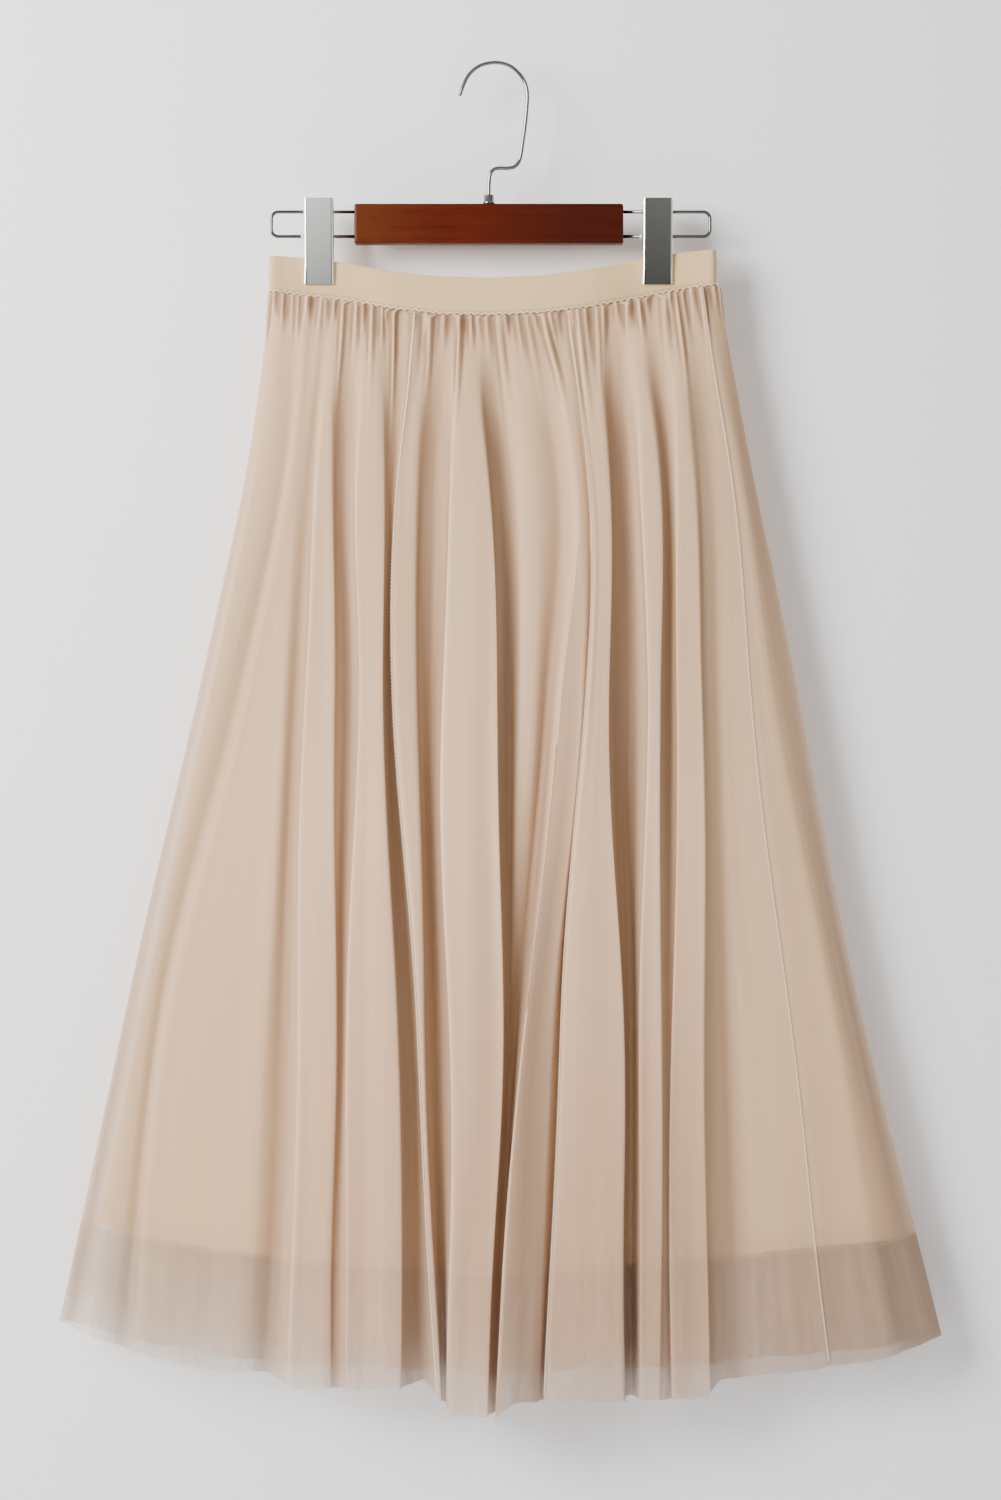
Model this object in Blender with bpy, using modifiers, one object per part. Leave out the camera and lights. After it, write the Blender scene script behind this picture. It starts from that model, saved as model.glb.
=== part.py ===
"""Tulle midi skirt on a wooden clip hanger, hung by the hook.

Lengths in the tables are millimetres and become metres through MM. X runs to the viewer's right,
-Y is the front of the skirt, +Z is up. The origin is the point inside the hook's crown that rests
on whatever holds it.
"""
import math

import bmesh
import bpy
import numpy as np
from mathutils import Vector

for old in list(bpy.data.objects):
    bpy.data.objects.remove(old)

MM = 0.001
SEAM_GAP = 0.3  # between pieces that meet

# hanger
BAR_LENGTH = 193.5
BAR_DEPTH = 12.5
BAR_HEIGHT = 28.7
BAR_CENTRE_X = -5.9
BAR_CENTRE_Z = -115.2
BAR_BEVEL = 1.6
LOOP_WIRE = 2.5
LOOP_CORNER = 5.0
LOOP_UPPER_Z = -106.1
LOOP_LOWER_Z = -123.8
LOOP_LEFT_X = -162.4
LOOP_RIGHT_X = 153.4
LOOP_IN_BAR = 14.0
HOOK_WIRE = 2.8
HOOK_IN_BAR = 10.0
COLLAR_WIDTH = 8.6
COLLAR_HEIGHT = 6.6
CLEARANCE = 0.35  # all round a wire in its hole

# clips
CLIP_LEFT_X = -128.0
CLIP_RIGHT_X = 115.5
CLIP_WIDTH = 22.0
CLIP_SHEET = 1.1
SPRING_WIRE = 1.0
SPRING_COIL = 2.15  # radius of the coil's centre line
SPRING_LENGTH = 11.0
SPRING_TURNS = 4

# cloth
BAND_WALL = 2.2
TULLE_WALL = 1.15
LINING_WALL = 1.1
GATHER_HEIGHT = 2.0
GATHER_FADE = 30.0
LINING_SHORTER = 80.0
SKIRT_LENGTH = 765.0  # waist seam to hem, in the middle of the front

# Half depth of each layer's outer side, at the waist and at the hem, and how much the ends lose
BAND_HALF_DEPTH = 6.5
PINCHED_HALF_DEPTH = 2.45
TULLE_FRONT_DEPTH = (6.5, 14.0)
TULLE_BACK_DEPTH = (6.5, 11.0)
LINING_FRONT_DEPTH = (4.9, 8.8)
LINING_BACK_DEPTH = (4.9, 7.6)
END_LOSS = (1.8, 3.5)

# Fractions of the length from the waist seam to the hem at which the fold tables are measured
LEVELS = (0.0, 0.174, 0.364, 0.649, 1.0)
LEFT_EDGE = (-166, -183, -212, -259, -316)
RIGHT_EDGE = (163, 186, 215, 256, 322)

# Front folds, one a row: where the ridge's left and right edges lie at each level, how far the
# ridge stands out at the last four levels, and how high the valley to its right lies there.
FRONT_FOLDS = (
    ("outer_left", (-160, -176, -203, -248, -297), (-152, -162, -192, -244, -277), (2, 3, 4, 4), 0.5),
    ("flat_left", (-137, -147, -175, -231, -258), (-130, -141, -152, -163, -180), (4, 6, 8, 8), 1.5),
    ("shoulder", (-117, -132, -139, -143, -148), (-111, -117, -114, -114, -116), (9, 12, 14, 14), 0.0),
    ("left_pleat", (-96, -105, -100, -107, -111), (-80, -79, -79, -70, -66), (13, 18, 22, 23), 3.5),
    ("seam_ridge", (-59, -71, -73, -58, -43), (-48, -54, -57, -50, -40), (10, 13, 15, 16), 0.0),
    ("broad_left", (-28, -36, -41, -35, -35), (-14, -3, 3, 5, -7), (14, 20, 25, 30), 0.0),
    ("low_ridge", (3, 14, 16, 12, -1), (12, 29, 28, 13, 0), (8, 8, 2, 1), 3.0),
    ("slanting", (33, 57, 43, 17, 1), (40, 61, 58, 39, 26), (12, 22, 32, 42), 2.0),
    ("broad_right", (51, 66, 63, 45, 34), (76, 82, 82, 90, 93), (14, 19, 23, 25), 0.0),
    ("right_pleat", (93, 99, 106, 101, 98), (102, 118, 119, 118, 117), (13, 17, 20, 21), 3.0),
    ("right_edge", (120, 127, 127, 123, 123), (128, 145, 147, 150, 152), (11, 13, 15, 16), 4.0),
    ("flat_right", (144, 160, 165, 176, 192), (150, 174, 196, 235, 285), (4, 5, 6, 7), 0.0),
)
# Back folds, right to left: edges as fractions of the half width at the waist and at the hem,
# how far each stands out half way down and at the hem, and the valley beside it.
BACK_FOLDS = (
    ("first", (0.97, 0.88), (0.965, 0.74), (3, 4), 1.0),
    ("second", (0.76, 0.69), (0.63, 0.50), (6, 7), 0.0),
    ("third", (0.58, 0.47), (0.43, 0.37), (7, 9), 1.5),
    ("fourth", (0.36, 0.25), (0.31, 0.17), (8, 10), 0.0),
    ("fifth", (0.15, 0.04), (0.10, 0.01), (6, 8), 2.0),
    ("sixth", (-0.06, -0.19), (-0.05, -0.20), (8, 11), 0.0),
    ("seventh", (-0.29, -0.37), (-0.26, -0.33), (7, 8), 1.0),
    ("eighth", (-0.47, -0.59), (-0.41, -0.55), (7, 9), 0.0),
    ("ninth", (-0.68, -0.77), (-0.62, -0.75), (5, 6), 1.0),
    ("tenth", (-0.86, -0.97), (-0.84, -0.965), (3, 4), 0.0),
)
# The waistband's edges by x: its top, and the seam that the skirt hangs from
BAND_EDGES = (
    (-163, -137.8, -164.1),
    (-135, -139.6, -167.7),
    (-106, -143.6, -171.2),
    (-77, -149.8, -176.7),
    (-41, -153.3, -180.9),
    (-5, -154.1, -181.6),
    (31, -152.6, -180.1),
    (67, -147.9, -175.8),
    (103, -140.9, -168.8),
    (132, -135.6, -163.0),
    (156, -133.5, -159.6),
)
# The raw lower edge by x: the front cut and the back cut
HEM_EDGES = (
    (-317, -904, -904),
    (-264, -922, -920),
    (-205, -936, -931),
    (-165, -938, -936),
    (-145, -948, -939),
    (-68, -947, -941),
    (-52, -943, -944),
    (-34, -964, -943),
    (-2, -965, -946),
    (12, -955, -944),
    (103, -955, -941),
    (149, -955, -938),
    (160, -943, -937),
    (218, -937, -931),
    (279, -928, -926),
    (322, -914, -914),
)
# Soft waves of the lining, as fractions of its half width, and how far each stands out at its hem
LINING_FRONT = (
    (-0.975, 0.0), (-0.70, 0.8), (-0.52, 0.0), (-0.36, 2.6), (-0.20, 0.4), (-0.06, 2.8),
    (0.06, 0.5), (0.20, 3.0), (0.36, 0.6), (0.48, 2.2), (0.66, 0.2), (0.975, 0.0),
)
LINING_BACK = (
    (0.975, 0.0), (0.70, 1.0), (0.50, 0.1), (0.30, 1.5), (0.10, 0.2), (-0.12, 1.6),
    (-0.30, 0.3), (-0.50, 1.4), (-0.72, 0.2), (-0.975, 0.0),
)
# The hook's wire from its open tip, over the crown and down to the bar
HOOK_PATH = (
    (-26.6, -21.5), (-24.5, -15.6), (-21.4, -9.0), (-17.0, -3.9), (-11.3, -0.4), (-5.0, 1.2),
    (0.3, 1.4), (5.3, 0.6), (10.3, -1.6), (15.1, -5.6), (19.1, -10.9), (21.3, -16.8),
    (21.9, -23.6), (21.4, -32.5), (20.2, -44.2), (18.7, -55.0), (17.4, -63.8), (15.9, -69.6),
    (12.7, -73.4), (7.6, -74.6), (2.0, -74.5), (-2.0, -75.3), (-4.6, -78.2), (-5.6, -84.0),
    (-5.9, -93.0),
)

BODY_ROWS = (0.1, 0.16, 0.23, 0.31, 0.4, 0.5, 0.61, 0.73, 0.86, 1.0)
GATHERED_ROWS = (0.0, 0.013, 0.032, 0.06)
LINING_ROWS = (0.0, 0.03, 0.08, 0.16, 0.26, 0.37, 0.49, 0.61, 0.74, 0.87, 1.0)

collection = bpy.data.collections.new("tulle_skirt_on_clip_hanger")
bpy.context.scene.collection.children.link(collection)
cutter_collection = bpy.data.collections.new("cutters")
bpy.context.scene.collection.children.link(cutter_collection)


def add_material(name, colour, roughness, metallic=0.0):
    """A plain material of the Principled kind."""
    made = bpy.data.materials.new(name)
    made.use_nodes = True
    shader = made.node_tree.nodes["Principled BSDF"]
    shader.inputs["Base Color"].default_value = (*colour, 1.0)
    shader.inputs["Roughness"].default_value = roughness
    shader.inputs["Metallic"].default_value = metallic
    return made


TULLE = add_material("tulle_net", (0.60, 0.46, 0.39), 0.8)
LINING = add_material("lining_satin", (0.64, 0.50, 0.40), 0.6)
ELASTIC = add_material("waist_elastic", (0.60, 0.47, 0.36), 0.75)
WOOD = add_material("lacquered_wood", (0.20, 0.03, 0.01), 0.3)
CHROME = add_material("chromed_wire", (0.75, 0.75, 0.76), 0.15, 1.0)
CLIP_METAL = add_material("plated_clip", (0.62, 0.62, 0.60), 0.25, 1.0)
SPRING_STEEL = add_material("spring_steel", (0.45, 0.45, 0.46), 0.3, 1.0)


def add_object(name, mesh, material, smooth=True):
    """Puts a mesh in the part's collection under its name."""
    made = bpy.data.objects.new(name, mesh)
    collection.objects.link(made)
    mesh.materials.append(material)
    for face in mesh.polygons:
        face.use_smooth = smooth
    return made


def mesh_from(work, name):
    """Ends a bmesh and returns its mesh."""
    mesh = bpy.data.meshes.new(name)
    work.to_mesh(mesh)
    work.free()
    return mesh


def between(value, places, amounts):
    """A smooth curve through the amounts at the places, level at neither end."""
    places = np.asarray(places, float)
    amounts = np.asarray(amounts, float)
    slopes = np.gradient(amounts, places)
    value = np.clip(value, places[0], places[-1])
    low = np.clip(np.searchsorted(places, value) - 1, 0, len(places) - 2)
    step = places[low + 1] - places[low]
    part = (value - places[low]) / step
    square = part * part
    cube = square * part
    return (
        (2 * cube - 3 * square + 1) * amounts[low]
        + (cube - 2 * square + part) * step * slopes[low]
        + (3 * square - 2 * cube) * amounts[low + 1]
        + (cube - square) * step * slopes[low + 1]
    )


def edge_height(x, table, column):
    """The height of a cut edge at x."""
    return np.interp(x, [row[0] for row in table], [row[column] for row in table])


def layer_depth(depths, down, across):
    """How far a layer lies from the middle: more down the skirt, less towards its two ends."""
    loss = END_LOSS[0] + (END_LOSS[1] - END_LOSS[0]) * down
    return depths[0] + (depths[1] - depths[0]) * down**0.8 - loss * across**4


class Section:
    """A closed level line of cloth: corner points, rounded, with a place for every corner number."""

    SAMPLES = 2048
    PER_CORNER = 12

    def __init__(self, corners, rounding, gather=0.0):
        corners = np.asarray(corners, float)
        count = len(corners)
        turns = np.arange(count * self.PER_CORNER + 1) / self.PER_CORNER
        closed = np.vstack([corners, corners[:1]])
        path = np.column_stack([np.interp(turns, np.arange(count + 1), closed[:, k]) for k in (0, 1)])
        run = np.concatenate([[0.0], np.cumsum(np.linalg.norm(np.diff(path, axis=0), axis=1))])
        self.count = count
        self.length = run[-1]
        places = np.arange(self.SAMPLES) / self.SAMPLES * self.length
        even = np.column_stack([np.interp(places, run, path[:, k]) for k in (0, 1)])
        waves = np.fft.fftfreq(self.SAMPLES, self.length / self.SAMPLES)
        keep = np.exp(-0.5 * (2 * np.pi * waves * rounding) ** 2)
        line = np.column_stack([np.fft.ifft(np.fft.fft(even[:, k]) * keep).real for k in (0, 1)])
        if gather:
            number = np.interp(places, run, turns)
            line = line + self.outward(line) * (gather * np.sin(np.pi * number) ** 2)[:, None]
        self.line = line
        self.normals = self.outward(line)
        self.turns = turns
        self.run = run

    def outward(self, line):
        """The directions out of the ring, level."""
        ahead = np.roll(line, -1, axis=0) - np.roll(line, 1, axis=0)
        ahead /= np.linalg.norm(ahead, axis=1)[:, None]
        return np.column_stack([ahead[:, 1], -ahead[:, 0]])

    def at(self, number, shift=0.0):
        """The point and outward direction at a corner number, moved along the line by shift."""
        number = number % self.count
        place = (np.interp(number, self.turns, self.run) + shift) % self.length
        spot = place / self.length * self.SAMPLES
        low = int(spot) % self.SAMPLES
        high = (low + 1) % self.SAMPLES
        part = spot - int(spot)
        point = self.line[low] * (1 - part) + self.line[high] * part
        normal = self.normals[low] * (1 - part) + self.normals[high] * part
        return point, normal / np.linalg.norm(normal)


def tulle_corners(down):
    """The tulle's corner points at a fraction of its length: front left to right, then the back."""
    left = between(down, LEVELS, LEFT_EDGE)
    right = between(down, LEVELS, RIGHT_EDGE)
    middle = (left + right) / 2
    half = (right - left) / 2
    fade = min(1.0, down / LEVELS[1])
    swell = fade * fade * (3 - 2 * fade)
    rows = []
    for _, left_xs, right_xs, heights, floor in FRONT_FOLDS:
        height = 0.8 + swell * (float(between(max(down, LEVELS[1]), LEVELS[1:], heights)) - 0.8)
        rows.append((between(down, LEVELS, left_xs), between(down, LEVELS, right_xs), height, floor * swell))
    corners = []
    for index, (low, high, height, floor) in enumerate(rows):
        for x in (low, high):
            corners.append((x, -layer_depth(TULLE_FRONT_DEPTH, down, (x - middle) / half) - height))
        if index + 1 < len(rows):
            x = (high + rows[index + 1][0]) / 2
            corners.append((x, -layer_depth(TULLE_FRONT_DEPTH, down, (x - middle) / half) - floor))
    corners.append((right, 0.0))
    back = []
    for _, near, far, heights, floor in BACK_FOLDS:
        height = 0.8 + swell * (float(np.interp(down, (0.5, 1.0), heights)) - 0.8)
        pairs = ((near[0], far[0]), (near[1], far[1]))
        ends = [middle + half * (above + (below - above) * down) for above, below in pairs]
        back.append((*ends, height, floor * swell))
    for index, (high, low, height, floor) in enumerate(back):
        for x in (high, low):
            corners.append((x, layer_depth(TULLE_BACK_DEPTH, down, (x - middle) / half) + height))
        if index + 1 < len(back):
            x = (low + back[index + 1][0]) / 2
            corners.append((x, layer_depth(TULLE_BACK_DEPTH, down, (x - middle) / half) + floor))
    corners.append((left, 0.0))
    return corners


def lining_corners(down):
    """The lining's corner points, a little inside the tulle's edges, at a fraction of its length."""
    down = down * (1 - LINING_SHORTER / SKIRT_LENGTH)
    inset = 5.0 + 3.5 * down
    left = between(down, LEVELS, LEFT_EDGE) + inset
    right = between(down, LEVELS, RIGHT_EDGE) - inset
    middle = (left + right) / 2
    half = (right - left) / 2
    corners = []
    for across, height in LINING_FRONT:
        depth = layer_depth(LINING_FRONT_DEPTH, down, across) + height * down
        corners.append((middle + half * across, -depth))
    corners.append((right, 0.0))
    for across, height in LINING_BACK:
        depth = layer_depth(LINING_BACK_DEPTH, down, across) + height * down
        corners.append((middle + half * across, depth))
    corners.append((left, 0.0))
    return corners


def band_corners():
    """The waistband's level line: open in the middle, its two sides close together in the clips."""
    left = LEFT_EDGE[0] + 1.0
    right = RIGHT_EDGE[0] - 4.0
    front = []
    for x in np.linspace(left + 3, right - 3, 34):
        nearest = min(abs(x - CLIP_LEFT_X), abs(x - CLIP_RIGHT_X))
        opened = np.clip((nearest - CLIP_WIDTH / 2 - 2) / 40, 0, 1)
        opened = opened * opened * (3 - 2 * opened)
        front.append((x, PINCHED_HALF_DEPTH + (BAND_HALF_DEPTH - PINCHED_HALF_DEPTH) * opened))
    corners = [(x, -depth) for x, depth in front]
    corners.append((right, 0.0))
    corners += [(x, depth) for x, depth in reversed(front)]
    corners.append((left, 0.0))
    return corners


def slab(columns, rows, fine_rows=0, closed=False):
    """A flat sheet made two faces thick, with whole numbers for places; its first rows get twice
    the columns, and a closed one is joined end to end."""
    work = bmesh.new()
    bmesh.ops.create_grid(work, x_segments=columns, y_segments=rows, size=0.5)
    for vertex in work.verts:
        vertex.co.x = round((vertex.co.x + 0.5) * columns)
        vertex.co.y = round((vertex.co.y + 0.5) * rows)
    if fine_rows:
        across = []
        for edge in work.edges:
            level = edge.verts[0].co.y
            if level == edge.verts[1].co.y and level < fine_rows:
                across.append(edge)
        bmesh.ops.subdivide_edges(work, edges=across, cuts=1, use_grid_fill=True)
    if closed:
        first = {vertex.co.y: vertex for vertex in work.verts if vertex.co.x == 0}
        joined = {vertex: first[vertex.co.y] for vertex in work.verts if vertex.co.x == columns}
        bmesh.ops.weld_verts(work, targetmap=joined)
    raised = bmesh.ops.extrude_face_region(work, geom=list(work.faces), use_keep_orig=True)["geom"]
    for item in raised:
        if isinstance(item, bmesh.types.BMVert):
            item.co.z = 1.0
    return work


def cloth_solid(name, material, sections, numbers, downs, wall, heights, fine_rows=0, closed=False):
    """Bends a slab along the sections between the corner numbers and gives it the wall's thickness."""
    last = len(numbers) - 1
    work = slab(last, len(downs) - 1, fine_rows, closed)
    for vertex in work.verts:
        column = vertex.co.x
        number = float(np.interp(column, np.arange(last + 1), numbers))
        row = round(vertex.co.y)
        shift = 0.0
        if column == 0 and not closed:
            shift = SEAM_GAP / 2 + 0.03
        elif column == last and not closed:
            shift = -SEAM_GAP / 2 - 0.03
        point, normal = sections[row].at(number, shift)
        upper_x = sections[0].at(number)[0][0]
        lower_x = sections[-1].at(number)[0][0]
        upper, lower = heights(upper_x, lower_x, number)
        inner = point - normal * (wall * vertex.co.z)
        height = upper + (lower - upper) * downs[row]
        vertex.co = Vector((inner[0], inner[1], height)) * MM
    bmesh.ops.recalc_face_normals(work, faces=list(work.faces))
    return add_object(name, mesh_from(work, name), material)


def columns_between(first, last, step):
    """Corner numbers from first to last, a step apart."""
    return [first + step * index for index in range(round((last - first) / step) + 1)]


# The tulle: six gores, each from its own corner numbers, with a gather to every corner at the seam
FRONT_CORNERS = 3 * len(FRONT_FOLDS)
ALL_CORNERS = FRONT_CORNERS + 3 * len(BACK_FOLDS)
GORES = (
    ("tulle_front_left", -1, 12),
    ("tulle_front_centre", 12, 24),
    ("tulle_front_right", 24, 33.5),
    ("tulle_back_right", 33.5, 45),
    ("tulle_back_centre", 45, 57),
    ("tulle_back_left", 57, ALL_CORNERS - 1),
)
tulle_rows = GATHERED_ROWS + BODY_ROWS
tulle_sections = []
for down in tulle_rows:
    gather = GATHER_HEIGHT * math.exp(-((down * SKIRT_LENGTH / GATHER_FADE) ** 2) / 2)
    tulle_sections.append(Section(tulle_corners(down), 1.6 + 3.4 * min(1.0, down / 0.3), gather))


def tulle_heights(upper_x, lower_x, number):
    """The tulle's upper and lower edges: just under the band, down to the raw cut."""
    column = 1 if number % ALL_CORNERS < FRONT_CORNERS else 2
    return edge_height(upper_x, BAND_EDGES, 2) - SEAM_GAP, edge_height(lower_x, HEM_EDGES, column)


for name, first, last in GORES:
    cloth_solid(
        name,
        TULLE,
        tulle_sections,
        columns_between(first, last, 0.5),
        tulle_rows,
        TULLE_WALL,
        tulle_heights,
        fine_rows=len(GATHERED_ROWS),
    )

# The lining: a front and a back, straight hemmed, shorter than the tulle
lining_sections = [Section(lining_corners(down), 2.0 + 4.0 * down) for down in LINING_ROWS]


def lining_heights(upper_x, lower_x, _):
    """The lining's edges: the waist seam and its hem."""
    upper = edge_height(upper_x, BAND_EDGES, 2) - SEAM_GAP
    return upper, edge_height(lower_x, HEM_EDGES, 2) + LINING_SHORTER


lining_front_end = len(LINING_FRONT)
lining_back_end = lining_front_end + 1 + len(LINING_BACK)
for name, first, last in (
    ("lining_front", -1, lining_front_end),
    ("lining_back", lining_front_end, lining_back_end),
):
    numbers = columns_between(first, last, 0.5)
    cloth_solid(name, LINING, lining_sections, numbers, LINING_ROWS, LINING_WALL, lining_heights)

# The waistband: one loop of elastic
band_line = band_corners()
band_section = Section(band_line, 2.0)


def band_heights(upper_x, _, __):
    """The waistband's upper and lower edges."""
    return edge_height(upper_x, BAND_EDGES, 1), edge_height(upper_x, BAND_EDGES, 2)


cloth_solid(
    "waistband",
    ELASTIC,
    [band_section] * 3,
    list(range(len(band_line) + 1)),
    (0.0, 0.5, 1.0),
    BAND_WALL,
    band_heights,
    closed=True,
)


def add_wire(name, points, thickness, material, cyclic=False, sides=2):
    """A round wire along points, closed at its ends."""
    curve = bpy.data.curves.new(name, "CURVE")
    curve.dimensions = "3D"
    curve.bevel_depth = thickness / 2 * MM
    curve.bevel_resolution = sides
    curve.use_fill_caps = True
    spline = curve.splines.new("POLY")
    spline.points.add(len(points) - 1)
    for place, point in zip(spline.points, points):
        place.co = (point[0] * MM, point[1] * MM, point[2] * MM, 1.0)
    spline.use_cyclic_u = cyclic
    shaped = bpy.data.objects.new(name, curve)
    mesh = bpy.data.meshes.new_from_object(shaped)
    bpy.data.objects.remove(shaped)
    work = bmesh.new()
    work.from_mesh(mesh)
    bmesh.ops.remove_doubles(work, verts=list(work.verts), dist=0.00001)
    bmesh.ops.recalc_face_normals(work, faces=list(work.faces))
    return add_object(name, mesh_from(work, name), material)


def add_cutter(name, diameter, length, centre, axis):
    """A round cutter along X or Z, kept out of the part."""
    work = bmesh.new()
    bmesh.ops.create_cone(
        work,
        cap_ends=True,
        segments=20,
        radius1=diameter / 2 * MM,
        radius2=diameter / 2 * MM,
        depth=length * MM,
    )
    made = bpy.data.objects.new(name, mesh_from(work, name))
    cutter_collection.objects.link(made)
    made.location = Vector(centre) * MM
    if axis == "X":
        made.rotation_euler = (0.0, math.pi / 2, 0.0)
    made.hide_render = True
    made.display_type = "WIRE"
    return made


def cut(target, cutter):
    """Takes the cutter's shape out of the target."""
    modifier = target.modifiers.new(cutter.name, "BOOLEAN")
    modifier.operation = "DIFFERENCE"
    modifier.solver = "EXACT"
    modifier.object = cutter


# The wooden bar, drilled for the hook and for the ends of both wire loops
work = bmesh.new()
bmesh.ops.create_cube(work, size=1.0)
for vertex in work.verts:
    vertex.co.x = (BAR_CENTRE_X + vertex.co.x * BAR_LENGTH) * MM
    vertex.co.y = vertex.co.y * BAR_DEPTH * MM
    vertex.co.z = (BAR_CENTRE_Z + vertex.co.z * BAR_HEIGHT) * MM
bmesh.ops.bevel(
    work, geom=list(work.edges), offset=BAR_BEVEL * MM, segments=3, profile=0.5, affect="EDGES", material=-1
)
bar = add_object("hanger_bar", mesh_from(work, "hanger_bar"), WOOD)
bar_left = BAR_CENTRE_X - BAR_LENGTH / 2
bar_right = BAR_CENTRE_X + BAR_LENGTH / 2
bar_top = BAR_CENTRE_Z + BAR_HEIGHT / 2
hole = LOOP_WIRE + 2 * CLEARANCE
for side, end in (("left", bar_left), ("right", bar_right)):
    for place, z in (("upper", LOOP_UPPER_Z), ("lower", LOOP_LOWER_Z)):
        depth = 2 * (LOOP_IN_BAR + 1.0)
        cut(bar, add_cutter(f"hole_{side}_{place}", hole, depth, (end, 0, z), "X"))
hook_hole = add_cutter(
    "hole_hook", HOOK_WIRE + 2 * CLEARANCE, 2 * (HOOK_IN_BAR + 1.0), (BAR_CENTRE_X, 0, bar_top), "Z"
)
cut(bar, hook_hole)


def loop_points(end, far):
    """One wire loop: in from the bar's end, round two corners and back."""
    way = 1 if far > end else -1
    inside = end - way * LOOP_IN_BAR
    points = [(inside, 0.0, LOOP_UPPER_Z)]
    for corner_z, start in ((LOOP_UPPER_Z, 90), (LOOP_LOWER_Z, 0)):
        centre_z = corner_z - LOOP_CORNER if start == 90 else corner_z + LOOP_CORNER
        for part in range(6):
            angle = math.radians(start - 18 * part)
            x = far - way * LOOP_CORNER + way * LOOP_CORNER * math.cos(angle)
            points.append((x, 0.0, centre_z + LOOP_CORNER * math.sin(angle)))
    points.append((inside, 0.0, LOOP_LOWER_Z))
    return points


add_wire("wire_loop_left", loop_points(bar_left, LOOP_LEFT_X), LOOP_WIRE, CHROME)
add_wire("wire_loop_right", loop_points(bar_right, LOOP_RIGHT_X), LOOP_WIRE, CHROME)

# The swivel hook, through its collar and into the bar
steps = np.linspace(0, len(HOOK_PATH) - 1, 2 * len(HOOK_PATH) - 1)
hook_x = between(steps, range(len(HOOK_PATH)), [point[0] for point in HOOK_PATH])
hook_z = between(steps, range(len(HOOK_PATH)), [point[1] for point in HOOK_PATH])
hook_points = [(x, 0.0, z) for x, z in zip(hook_x, hook_z)]
hook_points.append((BAR_CENTRE_X, 0.0, bar_top - HOOK_IN_BAR))
add_wire("hook_wire", hook_points, HOOK_WIRE, CHROME)

work = bmesh.new()
bmesh.ops.create_cone(
    work,
    cap_ends=True,
    segments=24,
    radius1=COLLAR_WIDTH / 2 * MM,
    radius2=COLLAR_WIDTH / 2 * MM,
    depth=COLLAR_HEIGHT * MM,
)
rims = [edge for edge in work.edges if edge.verts[0].co.z == edge.verts[1].co.z]
bmesh.ops.bevel(work, geom=rims, offset=0.8 * MM, segments=2, profile=0.5, affect="EDGES", material=-1)
collar_z = bar_top + SEAM_GAP + COLLAR_HEIGHT / 2
for vertex in work.verts:
    vertex.co += Vector((BAR_CENTRE_X, 0.0, collar_z)) * MM
collar = add_object("hook_collar", mesh_from(work, "hook_collar"), CHROME)
bore = add_cutter(
    "bore_collar", HOOK_WIRE + 2 * CLEARANCE, 3 * COLLAR_HEIGHT, (BAR_CENTRE_X, 0, collar_z), "Z"
)
cut(collar, bore)

# Each jaw is a tray of sheet: how far down it is, how far its flanges reach towards the other jaw,
# and how far its face stands from the middle
JAW_ROWS = (
    (-97.3, 2.2, 9.4),
    (-101.0, 4.6, 9.0),
    (-112.0, 4.9, 7.9),
    (-119.6, 4.6, 7.2),
    (-120.6, 9.9, 7.1),
    (-127.0, 9.5, 6.6),
    (-128.0, 3.2, 6.5),
    (-136.0, 1.6, 5.3),
    (-140.0, 1.3, 4.1),
    (-158.7, 1.3, 4.1),
)


def add_jaw(name, centre, width, front):
    """One jaw of a clip: its face, two flanges and two ears that the lower wire runs through."""
    facing = -1 if front else 1
    work = bmesh.new()
    bmesh.ops.create_grid(work, x_segments=3, y_segments=len(JAW_ROWS) - 1, size=0.5)
    for vertex in work.verts:
        column = round((vertex.co.x + 0.5) * 3)
        z, reach, face = JAW_ROWS[round((0.5 - vertex.co.y) * (len(JAW_ROWS) - 1))]
        side = -0.5 if column < 2 else 0.5
        depth = face - reach if column in (0, 3) else face
        vertex.co = Vector((centre + side * width, facing * depth, z)) * MM
    bmesh.ops.recalc_face_normals(work, faces=list(work.faces))
    made = add_object(name, mesh_from(work, name), CLIP_METAL)
    thick = made.modifiers.new("sheet", "SOLIDIFY")
    thick.thickness = CLIP_SHEET * MM
    thick.offset = -1.0
    thick.use_even_offset = True
    cut(made, add_cutter(f"bore_{name}", hole, width + 8, (centre, 0, LOOP_LOWER_Z), "X"))
    return made


def add_spring(name, centre):
    """The spring coiled on the lower wire, with an arm behind each jaw's lever."""
    per_turn = 12
    total = SPRING_TURNS * per_turn + per_turn // 2
    points = [(centre - SPRING_LENGTH / 2, -6.6, -99.5)]
    for part in range(total + 1):
        angle = math.pi + math.tau * part / per_turn
        x = centre + SPRING_LENGTH * (part / total - 0.5)
        points.append((x, SPRING_COIL * math.cos(angle), LOOP_LOWER_Z + SPRING_COIL * math.sin(angle)))
    points.append((centre + SPRING_LENGTH / 2, 6.6, -99.5))
    return add_wire(name, points, SPRING_WIRE, SPRING_STEEL, sides=1)


for side, centre in (("left", CLIP_LEFT_X), ("right", CLIP_RIGHT_X)):
    add_jaw(f"clip_front_{side}", centre, CLIP_WIDTH, True)
    add_jaw(f"clip_back_{side}", centre, CLIP_WIDTH - 2 * (CLIP_SHEET + CLEARANCE), False)
    add_spring(f"clip_spring_{side}", centre)
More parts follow.
